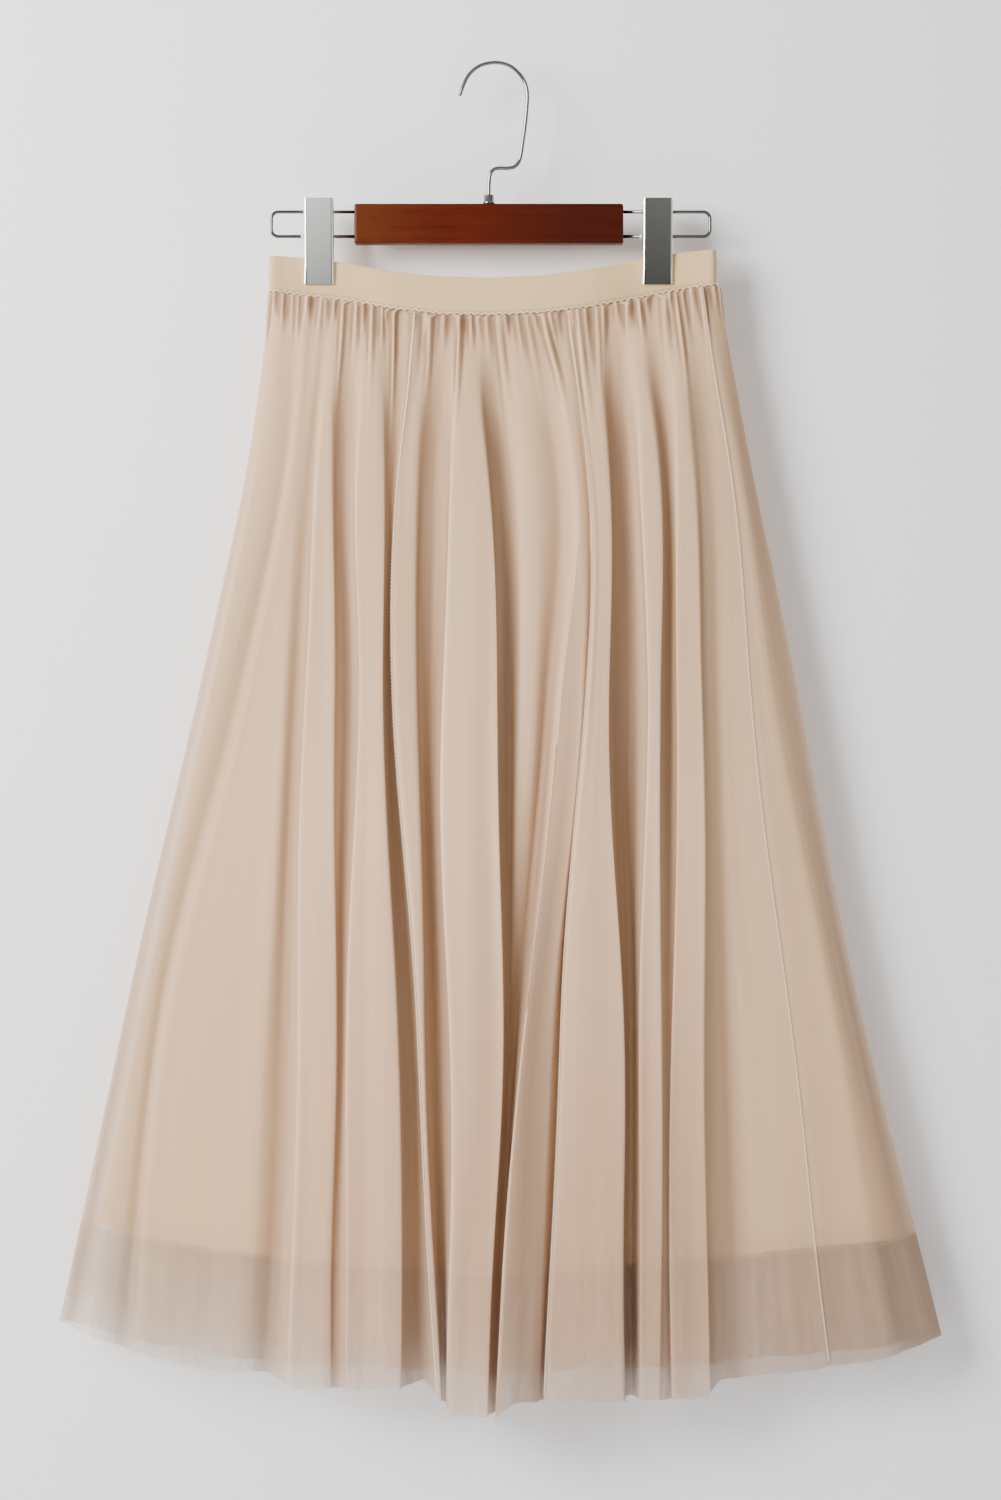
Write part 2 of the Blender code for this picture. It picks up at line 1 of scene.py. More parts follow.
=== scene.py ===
# %% [markdown]
# # A gathered tulle skirt on a clip hanger
# The real skirt is six flared gores of net sewn together, gathered onto a loop of elastic over a
# shorter, opaque lining, and a wooden bar hanger holds it by two sprung clips. This lesson loads
# the measured frame and then makes each cloth as one thin sheet, because net is too thin to have
# sides of its own: what makes it look like net is how much of what lies behind shows through.

# %% Load the frame
import math

import bmesh
import bpy
import numpy as np
from mathutils import Matrix, Vector


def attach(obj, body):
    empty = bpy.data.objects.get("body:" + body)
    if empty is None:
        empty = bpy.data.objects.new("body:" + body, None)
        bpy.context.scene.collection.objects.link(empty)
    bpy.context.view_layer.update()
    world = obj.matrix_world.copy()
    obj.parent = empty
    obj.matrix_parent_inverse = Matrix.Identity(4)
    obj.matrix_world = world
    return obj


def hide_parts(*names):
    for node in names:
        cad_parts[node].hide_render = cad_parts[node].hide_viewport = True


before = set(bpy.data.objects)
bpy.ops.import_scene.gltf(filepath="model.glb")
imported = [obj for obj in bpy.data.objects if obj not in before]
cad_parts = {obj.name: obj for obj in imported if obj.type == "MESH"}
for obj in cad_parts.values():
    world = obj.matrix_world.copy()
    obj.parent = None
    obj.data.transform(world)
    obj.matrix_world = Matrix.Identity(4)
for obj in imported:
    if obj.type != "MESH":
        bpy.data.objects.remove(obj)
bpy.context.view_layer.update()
MM = 0.001

# %% [markdown]
# ## The folds in numbers
# A hanging skirt is a stack of closed level lines. Each line runs over the ridges of the front from
# left to right and over the back again. One short table holds the front's ridges, one a row: where
# the left and right edges of the ridge lie at five heights, how far it stands out, how high the
# valley beside it is, and how far its two sides tuck in under it. The numbers are millimetres. A
# second table does the same for the back, which nobody photographed, with edges given as shares of
# the half width, so that they follow the skirt's flare by themselves.

# %% Sizes and tables of the cloth
# Shares of the length, from the waist seam to the hem, at which edges and heights are given.
LEVELS = (0.0, 0.174, 0.364, 0.649, 1.0)
LEFT_EDGE = (-166, -183, -212, -259, -316)
RIGHT_EDGE = (163, 186, 215, 256, 322)
TULLE_FRONT_DEPTH = (6.5, 14.0)
TULLE_BACK_DEPTH = (6.5, 11.0)
LINING_FRONT_DEPTH = (4.9, 8.8)
LINING_BACK_DEPTH = (4.9, 7.6)
END_LOSS = (1.8, 3.5)
SKIRT_LENGTH = 765.0
LINING_SHORTER = 80.0
# name, left edge and right edge at the levels, heights below the waist, valley floor, two tucks
FRONT_FOLDS = (
    (
        "outer_left", (-160, -176, -203, -248, -297), (-152, -162, -192, -244, -277), (2, 3, 4, 4),
        0.5, (0, 0),
    ),
    (
        "flat_left", (-137, -147, -175, -231, -258), (-130, -141, -152, -163, -180), (4, 6, 8, 8),
        1.5, (0, 0),
    ),
    (
        "shoulder", (-117, -132, -139, -143, -148), (-111, -117, -114, -114, -116), (9, 12, 14, 14),
        (0, 1, 7, 10), (1, 2),
    ),
    ("left_pleat", (-96, -105, -100, -107, -111), (-80, -79, -79, -70, -66), (13, 18, 22, 23), 3.5, (2, 3)),
    ("seam_ridge", (-59, -71, -73, -58, -43), (-48, -54, -57, -50, -40), (10, 13, 15, 16), 0.0, (1, 1)),
    ("broad_left", (-28, -36, -41, -35, -35), (-14, -3, 3, 5, -4), (14, 20, 25, 30), (0, 0, 3, 13), (2, 3)),
    ("low_ridge", (3, 14, 16, 12, 0), (12, 29, 28, 13, 1), (8, 8, 5, 14), (3, 3, 5, 15), (0, 0)),
    ("slanting", (33, 57, 43, 17, -3), (40, 61, 58, 39, 26), (12, 22, 32, 42), (11, 19, 22, 24), (4, 0)),
    ("broad_right", (51, 66, 63, 45, 34), (76, 82, 82, 90, 93), (14, 19, 23, 25), 0.0, (0, 3)),
    (
        "right_pleat", (93, 99, 106, 101, 98), (102, 118, 119, 118, 117), (13, 17, 20, 21),
        (3, 3, 9, 17), (2, 2),
    ),
    ("right_edge", (120, 127, 127, 123, 123), (128, 145, 147, 150, 152), (11, 13, 15, 16), 4.0, (2, 1)),
    ("flat_right", (144, 160, 165, 176, 192), (150, 174, 196, 235, 285), (4, 5, 6, 7), 0.0, (0, 0)),
)
# How far the slanting ridge's right edge lies below its left one at the levels.
SLANTING_FALL = (0.0, 0.0, 4.0, 10.0, 16.0)
# name, two edges at the waist, two at the hem, heights at half length and hem, valley floor
BACK_FOLDS = (
    ("first", (0.97, 0.88), (0.965, 0.74), (3, 4), 1.0),
    ("second", (0.76, 0.69), (0.63, 0.50), (6, 7), 0.0),
    ("third", (0.58, 0.47), (0.43, 0.37), (7, 9), 1.5),
    ("fourth", (0.36, 0.25), (0.31, 0.17), (8, 10), 0.0),
    ("fifth", (0.15, 0.04), (0.10, 0.01), (6, 8), 2.0),
    ("sixth", (-0.06, -0.19), (-0.05, -0.20), (8, 11), 0.0),
    ("seventh", (-0.29, -0.37), (-0.26, -0.33), (7, 8), 1.0),
    ("eighth", (-0.47, -0.59), (-0.41, -0.55), (7, 9), 0.0),
    ("ninth", (-0.68, -0.77), (-0.62, -0.75), (5, 6), 1.0),
    ("tenth", (-0.86, -0.97), (-0.84, -0.965), (3, 4), 0.0),
)
# x, upper edge, lower edge
BAND_EDGES = (
    (-163, -137.8, -164.1), (-135, -139.6, -167.7), (-106, -143.6, -171.2), (-77, -149.8, -176.7),
    (-41, -153.3, -180.9), (-5, -154.1, -181.6), (31, -152.6, -180.1), (67, -147.9, -175.8),
    (103, -140.9, -168.8), (132, -135.6, -163.0), (156, -133.5, -159.6),
)
# x, front edge, back edge
HEM_EDGES = (
    (-317, -904, -904), (-264, -922, -920), (-205, -936, -931), (-165, -938, -936),
    (-145, -948, -939), (-68, -947, -941), (-52, -943, -944), (-34, -964, -943),
    (-2, -965, -946), (12, -955, -944), (103, -955, -941), (149, -955, -938),
    (160, -943, -937), (218, -937, -931), (279, -928, -926), (322, -914, -914),
)
# share of the half width, how far the wave stands out at the hem
LINING_FRONT = (
    (-0.975, 0.0), (-0.70, 0.8), (-0.52, 0.0), (-0.36, 2.6), (-0.20, 0.4), (-0.06, 2.8),
    (0.06, 0.5), (0.20, 3.0), (0.36, 0.6), (0.48, 2.2), (0.66, 0.2), (0.975, 0.0),
)
LINING_BACK = (
    (0.975, 0.0), (0.70, 1.0), (0.50, 0.1), (0.30, 1.5), (0.10, 0.2), (-0.12, 1.6),
    (-0.30, 0.3), (-0.50, 1.4), (-0.72, 0.2), (-0.975, 0.0),
)
# The share of the length at which the gathers have opened into full folds.
FOLDS_FORMED = 0.13
HEIGHT_AT_WAIST = 0.8
BACK_TUCK = 1.5
CREASE_ROUNDING = 2.0
WAIST_ROUNDING = 3.2
FRONT_CORNERS = 3 * len(FRONT_FOLDS)
ALL_CORNERS = FRONT_CORNERS + 3 * len(BACK_FOLDS)
print("ridges", len(FRONT_FOLDS), "in front and", len(BACK_FOLDS), "behind")

# %% [markdown]
# ## From corners to cloth
# Straight lines between the corners would be folded paper. The level line is walked at an even
# pace and blurred along its own length, which rounds every crease by the same few millimetres
# however deep the fold is. Small waves are then pushed out of it. The gathers start at the waist
# seam, about 6 mm apart, and each dies out at its own distance. The main creases are placed from
# the photograph, a similar set is laid on the back, and fine ripples are strewn over all of it.
# A real cloth is never even, so the strewn values are random, but from a fixed seed.

# %% Helpers for the level lines
chance = np.random.default_rng(11)
gathers = {"number": np.zeros(0)}
ripples = {"number": np.zeros(0)}


def between(value, places, amounts):
    """A smooth curve through the amounts at the places."""
    places = np.asarray(places, float)
    amounts = np.asarray(amounts, float)
    slopes = np.gradient(amounts, places)
    value = np.clip(value, places[0], places[-1])
    low = np.clip(np.searchsorted(places, value) - 1, 0, len(places) - 2)
    step = places[low + 1] - places[low]
    part = (value - places[low]) / step
    square = part * part
    cube = square * part
    return (
        (2 * cube - 3 * square + 1) * amounts[low]
        + (cube - 2 * square + part) * step * slopes[low]
        + (3 * square - 2 * cube) * amounts[low + 1]
        + (cube - square) * step * slopes[low + 1]
    )


def edge_height(x, table, column):
    """The height of a cut edge at x."""
    return np.interp(x, [row[0] for row in table], [row[column] for row in table])


def layer_depth(depths, down, across):
    """How far a layer lies from the middle: more down the skirt, less towards its two ends."""
    loss = END_LOSS[0] + (END_LOSS[1] - END_LOSS[0]) * down
    return depths[0] + (depths[1] - depths[0]) * down**0.8 - loss * across**4


class LevelLine:
    """A closed level line of cloth through numbered corners, rounded."""

    SAMPLES = 4096

    def __init__(self, corners, rounding, below_seam=None, total=ALL_CORNERS):
        numbers = np.array([corner[0] for corner in corners] + [corners[0][0] + total], float)
        closed = np.array([corner[1:3] for corner in corners] + [corners[0][1:3]], float)
        self.turns = np.linspace(numbers[0], numbers[-1], 24 * len(corners) + 1)
        path = np.column_stack([np.interp(self.turns, numbers, closed[:, k]) for k in (0, 1)])
        self.run = np.concatenate([[0.0], np.cumsum(np.linalg.norm(np.diff(path, axis=0), axis=1))])
        self.first = numbers[0]
        self.total = total
        self.length = self.run[-1]
        places = np.arange(self.SAMPLES) / self.SAMPLES * self.length
        even = np.column_stack([np.interp(places, self.run, path[:, k]) for k in (0, 1)])
        waves = np.fft.fftfreq(self.SAMPLES, self.length / self.SAMPLES)
        keep = np.exp(-0.5 * (2 * np.pi * waves * rounding) ** 2)
        line = np.column_stack([np.fft.ifft(np.fft.fft(even[:, k]) * keep).real for k in (0, 1)])
        if below_seam is not None:
            line = line + self.outward(line) * self.small_waves(places, below_seam)[:, None]
        self.line = line
        self.normals = self.outward(line)
        turning = np.unwrap(np.arctan2(self.normals[:, 1], self.normals[:, 0]))
        self.bend = np.gradient(turning) / (self.length / self.SAMPLES)

    def small_waves(self, places, below_seam):
        """How far the gathers and the small ripples push the cloth out, below the seam."""
        pushed = np.zeros(len(places))
        for waves in (gathers, ripples):
            if not len(waves["number"]):
                continue
            size = waves["size"] * np.exp(-0.5 * ((below_seam - waves["down"]) / waves["fade"]) ** 2)
            shown = np.abs(size) > 0.02
            centres = self.place(waves["number"][shown] + waves["drift"][shown] * below_seam)
            width = waves["width"][shown] * (1 + below_seam / 400)
            off = (places[:, None] - centres + self.length / 2) % self.length - self.length / 2
            pushed += (size[shown] * np.exp(-0.5 * (off / width) ** 2)).sum(axis=1)
        return pushed

    def outward(self, line):
        """The directions out of the ring, level."""
        ahead = np.roll(line, -1, axis=0) - np.roll(line, 1, axis=0)
        ahead /= np.linalg.norm(ahead, axis=1)[:, None]
        return np.column_stack([ahead[:, 1], -ahead[:, 0]])

    def place(self, numbers):
        """Distances along the line at corner numbers."""
        turned = np.asarray(numbers, float)
        laps = np.floor((turned - self.first) / self.total)
        return np.interp(turned - laps * self.total, self.turns, self.run) + laps * self.length

    def at(self, places, values=None):
        """Points and outward directions at distances along the line, or another value there."""
        spots = np.asarray(places) / self.length * self.SAMPLES
        low = np.floor(spots).astype(int)
        part = (spots - low)[:, None]
        if values is not None:
            ahead = values[(low + 1) % self.SAMPLES]
            return values[low % self.SAMPLES] * (1 - part[:, 0]) + ahead * part[:, 0]
        found = []
        for kept in (self.line, self.normals):
            found.append(kept[low % self.SAMPLES] * (1 - part) + kept[(low + 1) % self.SAMPLES] * part)
        return found


def ridge(first, low, high, base, height, floor, tucks, fall=0.0):
    """Corners of one ridge: neck, edge, edge, neck. Its far edge may fall back from its near one."""
    width = abs(high - low)
    way = 1 if high > low else -1
    tuck = [min(t, 0.3 * width) * way for t in tucks]
    near_neck, far_neck = (floor + 0.55 * (top - floor) for top in (height, height - fall))
    found = []
    if tucks != (0, 0):
        found.append((first - 0.5, low + tuck[0], base(low) + near_neck))
    found += [(first, low, base(low) + height), (first + 1, high, base(high) + height - fall)]
    if tucks != (0, 0):
        found.append((first + 1.5, high - tuck[1], base(high) + far_neck))
    return found


def sway(index, down):
    """How far a ridge wanders to one side, in millimetres: soft cloth never hangs quite straight."""
    return 1.5 * math.sin(down * (8.0 + 2.5 * (index % 3)) + 2.1 * index)


def tulle_line(down):
    """The net's level line at a fraction of its length."""
    left = between(down, LEVELS, LEFT_EDGE)
    right = between(down, LEVELS, RIGHT_EDGE)
    middle = (left + right) / 2
    half = (right - left) / 2
    fade = min(1.0, down / FOLDS_FORMED)
    swell = fade * fade * (3 - 2 * fade)

    def front(x):
        return layer_depth(TULLE_FRONT_DEPTH, down, (x - middle) / half)

    def back(x):
        return layer_depth(TULLE_BACK_DEPTH, down, (x - middle) / half)

    corners = []
    edges = [
        (
            between(down, LEVELS, row[1]) + swell * sway(index, down),
            between(down, LEVELS, row[2]) + swell * sway(index + 0.3, down),
        )
        for index, row in enumerate(FRONT_FOLDS)
    ]
    for index, (name, _, _, heights, floor, tucks) in enumerate(FRONT_FOLDS):
        low, high = edges[index]
        height = between(max(down, LEVELS[1]), LEVELS[1:], heights)
        height = HEIGHT_AT_WAIST + swell * (height - HEIGHT_AT_WAIST)
        if isinstance(floor, tuple):
            floor = between(max(down, LEVELS[1]), LEVELS[1:], floor)
        tucked = tuple(t * swell for t in tucks)
        fall = between(down, LEVELS, SLANTING_FALL) if name == "slanting" else 0.0
        for number, x, depth in ridge(3 * index, low, high, front, height, floor * swell, tucked, fall):
            corners.append((number, x, -depth))
        if index + 1 < len(FRONT_FOLDS):
            x = (high + edges[index + 1][0]) / 2
            corners.append((3 * index + 2, x, -front(x) - floor * swell))
    corners.append((FRONT_CORNERS - 1, right, 0.0))
    edges = []
    for _, at_waist, at_hem, _, _ in BACK_FOLDS:
        edges.append([middle + half * (a + (b - a) * down) for a, b in zip(at_waist, at_hem)])
    for index, (_, _, _, heights, floor) in enumerate(BACK_FOLDS):
        height = np.interp(down, (0.5, 1.0), heights)
        height = HEIGHT_AT_WAIST + swell * (height - HEIGHT_AT_WAIST)
        first = FRONT_CORNERS + 3 * index
        inner = 0 < index < len(BACK_FOLDS) - 1
        tucked = (BACK_TUCK * swell, BACK_TUCK * swell) if inner else (0, 0)
        corners += ridge(first, *edges[index], back, height, floor * swell, tucked)
        if index + 1 < len(BACK_FOLDS):
            x = (edges[index][1] + edges[index + 1][0]) / 2
            corners.append((first + 2, x, back(x) + floor * swell))
    corners.append((ALL_CORNERS - 1, left, 0.0))
    rounding = CREASE_ROUNDING + WAIST_ROUNDING * math.exp(-((down / 0.17) ** 2))
    return LevelLine(corners, rounding, down * SKIRT_LENGTH)


GATHER_PITCH = 6.4
waist_line = tulle_line(0.0)
count = int(waist_line.length / GATHER_PITCH)
spots = (np.arange(count) + chance.uniform(-0.3, 0.3, count)) * waist_line.length / count
gathers = {
    "number": np.interp(spots, waist_line.run, waist_line.turns),
    "size": chance.uniform(1.9, 3.9, count),
    "down": np.zeros(count),
    "fade": chance.choice([7.0, 11.0, 17.0, 30.0], count) * chance.uniform(0.8, 1.3, count),
    "width": chance.uniform(1.1, 1.8, count),
    "drift": np.zeros(count),
}
# corner number, push outward, middle below the seam, fade up and down, width
CREASES = (
    (1.6, 1.6, 500, 180, 10.0), (2.4, -1.3, 620, 120, 8.0), (3.3, 1.8, 600, 150, 8.0),
    (3.8, -1.4, 560, 170, 9.0), (4.5, 1.6, 620, 120, 9.0), (6.35, -1.2, 680, 80, 2.2),
    (6.6, 1.4, 440, 170, 5.0), (9.32, -1.6, 640, 160, 2.6), (9.7, 1.3, 500, 150, 4.0),
    (12.5, 1.2, 300, 110, 3.0), (15.3, 1.7, 600, 160, 5.0), (15.46, -1.3, 710, 90, 2.2),
    (15.77, -1.9, 470, 190, 2.6), (18.5, 2.0, 330, 120, 5.0), (21.65, -1.5, 600, 150, 2.0),
    (24.4, 1.7, 560, 140, 7.0), (24.75, -1.4, 430, 110, 4.0), (27.4, -1.2, 560, 130, 2.0),
    (30.6, -1.8, 700, 90, 2.4), (32.4, 1.5, 420, 160, 7.0), (33.3, 1.8, 520, 170, 10.0),
    (33.7, -1.3, 600, 140, 9.0), (34.3, 1.5, 600, 120, 8.0), (12.0, 1.3, 180, 220, 1.3),
    (24.0, 1.3, 160, 220, 1.3), (32.0, -2.6, 640, 240, 8.0), (17.3, -1.6, 240, 120, 5.0),
)
BACK_SHARE = (ALL_CORNERS - FRONT_CORNERS) / FRONT_CORNERS
hidden = [(ALL_CORNERS - number * BACK_SHARE, *rest) for number, *rest in CREASES]
FINE_RIPPLES = 190
fine = np.column_stack([
    chance.uniform(0, ALL_CORNERS, FINE_RIPPLES), chance.uniform(-0.9, 1.1, FINE_RIPPLES),
    chance.uniform(60, 760, FINE_RIPPLES), chance.uniform(50, 190, FINE_RIPPLES),
    chance.uniform(1.6, 5.5, FINE_RIPPLES),
])
every_wave = np.vstack([CREASES, hidden, fine])
ripples = dict(zip(("number", "size", "down", "fade", "width"), every_wave.T))
ripples["drift"] = np.concatenate([
    np.zeros(len(CREASES) * 2), chance.uniform(-0.0006, 0.0006, FINE_RIPPLES)
])
tulle_downs = np.concatenate(
    [np.linspace(0, 0.06, 22), np.linspace(0.06, 0.2, 26)[1:], np.linspace(0.2, 1.0, 88)[1:]]
)
tulle_lines = [tulle_line(down) for down in tulle_downs]
print("net level lines", len(tulle_lines), "girth at the hem mm", round(tulle_lines[-1].length))

# %% [markdown]
# ## Laying a sheet along the level lines
# Each gore starts as a flat grid. Its columns are spread so that they lie evenly in the cloth on
# average, its rows follow the level lines, and its UV map is the cloth's own width and length in
# metres, so that a weave drawn on it runs with the thread and not with the room. Each point also
# keeps a few values for its material: how deep it lies between its neighbours, how far it stands
# out, how sharply it turns, how far below the lining's hem it is and how near the gathers are.
# Deep places are painted browner, as painted shade in the valleys.

# %% Helpers for sheets
ROOT = "root"
SEAM_GAP = 0.15
WIDTH_ALLOWANCE = 0.01


def finish_piece(name, mesh, material, nodes):
    """Puts a mesh in the scene, carried by the frame's one body."""
    made = bpy.data.objects.new(name, mesh)
    bpy.context.scene.collection.objects.link(made)
    mesh.polygons.foreach_set("use_smooth", [True] * len(mesh.polygons))
    mesh.materials.append(material)
    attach(made, ROOT)
    if nodes:
        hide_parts(*nodes)
    return made


def even_numbers(lines, first, last, count):
    """Corner numbers whose columns lie evenly in the cloth on average."""
    numbers = np.linspace(first, last, 600)
    share = np.zeros(len(numbers))
    for line in lines[:: max(1, len(lines) // 8)]:
        places = line.place(numbers)
        share += (places - places[0]) / (places[-1] - places[0])
    return np.interp(np.linspace(0, 1, count + 1), share / share[-1], numbers)


def close_up(mesh, distance):
    """Merges the mesh's touching borders and turns its faces outward."""
    work = bmesh.new()
    work.from_mesh(mesh)
    bmesh.ops.remove_doubles(work, verts=list(work.verts), dist=distance)
    bmesh.ops.recalc_face_normals(work, faces=list(work.faces))
    work.to_mesh(mesh)
    work.free()


def seam_to_seam(lines, numbers):
    """Where a sheet's columns lie on each line, a hair short of the seams at its two sides."""
    found = []
    for line in lines:
        place = line.place(numbers)
        place[0] += SEAM_GAP
        place[-1] -= SEAM_GAP
        found.append(place)
    return found


def cut_of(made, width, length):
    """The rectangle that a sheet is cut from and the area cut, in metres; width and length in mm."""
    flat = (round(width * MM + WIDTH_ALLOWANCE, 3), round(length, 3))
    area = sum(face.area for face in made.data.polygons)
    return flat, max(0.31 * flat[0] * flat[1], min(area, flat[0] * flat[1]))


def valley_depth(line):
    """From 0 on a crest to 1 deep between two crests, along a level line."""
    out = np.abs(line.line[:, 1])
    reach = out.copy()
    for step in range(6, 72, 6):
        reach = np.maximum(reach, np.maximum(np.roll(out, step), np.roll(out, -step)))
    at_side = np.clip((out - 2.0) / 4.0, 0, 1)
    return np.clip((reach - out) / 14.0, 0, 1) * at_side


def bend_grid(name, grid, shades=None):
    """A grid mesh bent to rows and columns of points, with its UV map and its shading values."""
    points, cloth = grid
    rows, columns = points.shape[:2]
    work = bmesh.new()
    bmesh.ops.create_grid(work, x_segments=columns - 1, y_segments=rows - 1, size=0.5)
    uv = work.loops.layers.uv.new("cloth")
    layers = {key: work.verts.layers.float.new(key) for key in (shades or {})}
    where = {}
    for vertex in work.verts:
        column = round((vertex.co.x + 0.5) * (columns - 1))
        row = round((0.5 - vertex.co.y) * (rows - 1))
        where[vertex] = (row, column)
    for vertex, (row, column) in where.items():
        vertex.co = Vector(points[row, column]) * MM
        for key, layer in layers.items():
            vertex[layer] = float(shades[key][row, column])
    for face in work.faces:
        for loop in face.loops:
            loop[uv].uv = cloth[where[loop.vert]] * MM
    mesh = bpy.data.meshes.new(name)
    work.to_mesh(mesh)
    work.free()
    return mesh


def sheet_grid(lines, downs, places, heights, inward, numbers_back):
    """Points of a sheet: for each level line, the places along it."""
    rows = []
    shades = {key: [] for key in ("valley", "proud", "edge", "crease_shade", "below_lining", "gathered")}
    top_x = lines[0].at(places[0])[0][:, 0]
    low_x = lines[-1].at(places[-1])[0][:, 0]
    upper, lower = heights(top_x, low_x, numbers_back)
    for line, down, place in zip(lines, downs, places):
        points, normals = line.at(place)
        level = upper + (lower - upper) * down
        rows.append(np.column_stack([points - normals * inward, level]))
        shades["valley"].append(line.at(place, valley_depth(line)))
        proud = np.clip((np.abs(points[:, 1]) - 8.5 - 8.0 * down) / 15.0, 0, 1)
        shades["proud"].append(proud * np.clip((down - 0.08) / 0.4, 0, 1))
        shades["edge"].append(line.at(place, np.clip(line.bend / 0.3, 0, 1) ** 2) * min(1.0, down / 0.12))
        shades["crease_shade"].append(line.at(place, np.clip(-line.bend / 0.22, 0, 1)))
        lining_hem = edge_height(points[:, 0], HEM_EDGES, 2) + LINING_SHORTER
        shades["below_lining"].append(lining_hem - level)
        shades["gathered"].append(np.full(len(place), math.exp(-((down / 0.3) ** 2))))
    points = np.array(rows)
    across = np.array([place - place[0] for place in places])
    steps = np.linalg.norm(np.diff(points, axis=0), axis=2)
    above_hem = np.vstack([np.cumsum(steps[::-1], axis=0)[::-1], np.zeros(points.shape[1])])
    shades = {key: np.array(rows) for key, rows in shades.items()}
    shades["drape"] = np.broadcast_to(across.mean(axis=0) * MM, above_hem.shape)
    middle = across[:, across.shape[1] // 2, None]
    return (points, np.dstack([across - middle, above_hem])), shades


def tulle_heights(top_x, low_x, back):
    """The net's upper and lower edges: just under the band, down to the raw cut."""
    upper = edge_height(top_x, BAND_EDGES, 2) - 0.2
    lower = np.where(back, edge_height(low_x, HEM_EDGES, 2), edge_height(low_x, HEM_EDGES, 1))
    snip = 0.35 * np.sin(low_x / 7.3) + 0.25 * np.sin(low_x / 2.9 + 1.0)
    return upper, lower + snip


print("helpers ready")

# %% [markdown]
# ## Node materials from plain arithmetic
# A cloth material mixes many small patterns. Writing it as arithmetic keeps it readable, so one
# small class stands for the output of a node, and adding or multiplying two of them adds the Math
# node that does it. Colours go through Mix nodes, because a Math node would turn them grey.

# %% Node helpers


class Wire:
    """An output of one node, with arithmetic."""

    def __init__(self, finish, socket):
        self.finish = finish
        self.socket = socket

    def __add__(self, other):
        return self.finish.math("ADD", self, other)

    def __radd__(self, other):
        return self.finish.math("ADD", other, self)

    def __sub__(self, other):
        return self.finish.math("SUBTRACT", self, other)

    def __rsub__(self, other):
        return self.finish.math("SUBTRACT", other, self)

    def __mul__(self, other):
        return self.finish.math("MULTIPLY", self, other)

    def __rmul__(self, other):
        return self.finish.math("MULTIPLY", other, self)

    def __pow__(self, other):
        return self.finish.math("POWER", self, other)


class Finish:
    """A material under construction."""

    def __init__(self, name, tree=None, shader=None):
        if tree is None:
            self.material = bpy.data.materials.new(name)
            self.material.use_nodes = True
            tree = self.material.node_tree
            shader = tree.nodes["Principled BSDF"]
        self.tree = tree
        self.shader = shader

    def add(self, kind, settings=None, inputs=None, output=0):
        """Adds a node: its settings first, then the values or links of its sockets."""
        node = self.tree.nodes.new(kind)
        for key, value in (settings or {}).items():
            setattr(node, key, value)
        for key, value in (inputs or {}).items():
            self.join(node.inputs[key], value)
        return Wire(self, node.outputs[output])

    def math(self, operation, *values):
        """A Math node on values or outputs."""
        return self.add("ShaderNodeMath", {"operation": operation}, dict(enumerate(values)))

    def join(self, socket, value):
        if isinstance(value, Wire):
            self.tree.links.new(value.socket, socket)
        else:
            socket.default_value = value

    def set(self, **sockets):
        for name, value in sockets.items():
            self.join(self.shader.inputs[name.replace("_", " ")], value)

    def mix(self, share, one, other):
        """One colour turning into another."""
        colours = [(*c, 1.0) if isinstance(c, tuple) else c for c in (one, other)]
        inputs = {0: share, 6: colours[0], 7: colours[1]}
        return self.add("ShaderNodeMix", {"data_type": "RGBA"}, inputs, 2)

    def above(self, value, least=0.0):
        """The value, or the least where it falls below it."""
        return self.math("MAXIMUM", value, least)

    def within(self, value):
        """The value, held between 0 and 1."""
        return self.math("MINIMUM", self.above(value), 1.0)

    def noise(self, vector, scale, detail=2.0, roughness=0.5):
        return self.add(
            "ShaderNodeTexNoise",
            None,
            {"Vector": vector, "Scale": scale, "Detail": detail, "Roughness": roughness},
        )

    def stretch(self, vector, scale):
        return self.add("ShaderNodeMapping", None, {"Vector": vector, "Scale": scale})

    def coordinates(self, kind):
        return self.add("ShaderNodeTexCoord", None, None, kind)

    def cloth_map(self):
        """The sheet's own UV map: metres across and along the cloth."""
        return self.add("ShaderNodeUVMap", {"uv_map": "cloth"})

    def part(self, vector, axis):
        return self.add("ShaderNodeSeparateXYZ", None, {0: vector}, axis)

    def attribute(self, name):
        return self.add("ShaderNodeAttribute", {"attribute_name": name}, None, "Fac")

    def bump(self, height, strength, distance):
        made = self.add(
            "ShaderNodeBump", None, {"Height": height, "Strength": strength, "Distance": distance}
        )
        self.set(Normal=made)

    def threads(self, position, pitch, sharp):
        """Even lines across one direction, 1 on a thread and 0 between."""
        wave = self.math("COSINE", position * (math.tau / pitch))
        return (wave * 0.5 + 0.5) ** sharp


print("node helpers ready")

# %% [markdown]
# ## The net
# Soft tulle is a net of fine cells a little over a millimetre wide. From where the skirt is seen
# the threads are too fine to count, and what remains is how much of the cloth behind shows. So the
# cells drive the alpha gently, and so does everything that lays net over net: a fold that stands
# out, a valley, the gathers. The colour is a pinkish beige that turns browner where the gathered
# layers stack up near the waist and paler in the last centimetres above the raw edge. On it lies
# painted light and shade: painted shade in the valleys, in the creases, below the lining's hem and
# towards the hem on the right, and a painted highlight on the folds that stand out and on the crests.

# %% The net's material
net = Finish("tulle_net_finish")
cloth = net.cloth_map()
across = net.part(cloth, 0)
along = net.part(cloth, 1)
CELL = 0.0013
SLANT = math.sqrt(3) / 2
LEAST_COVER = 0.12
MOST_COVER = 0.98
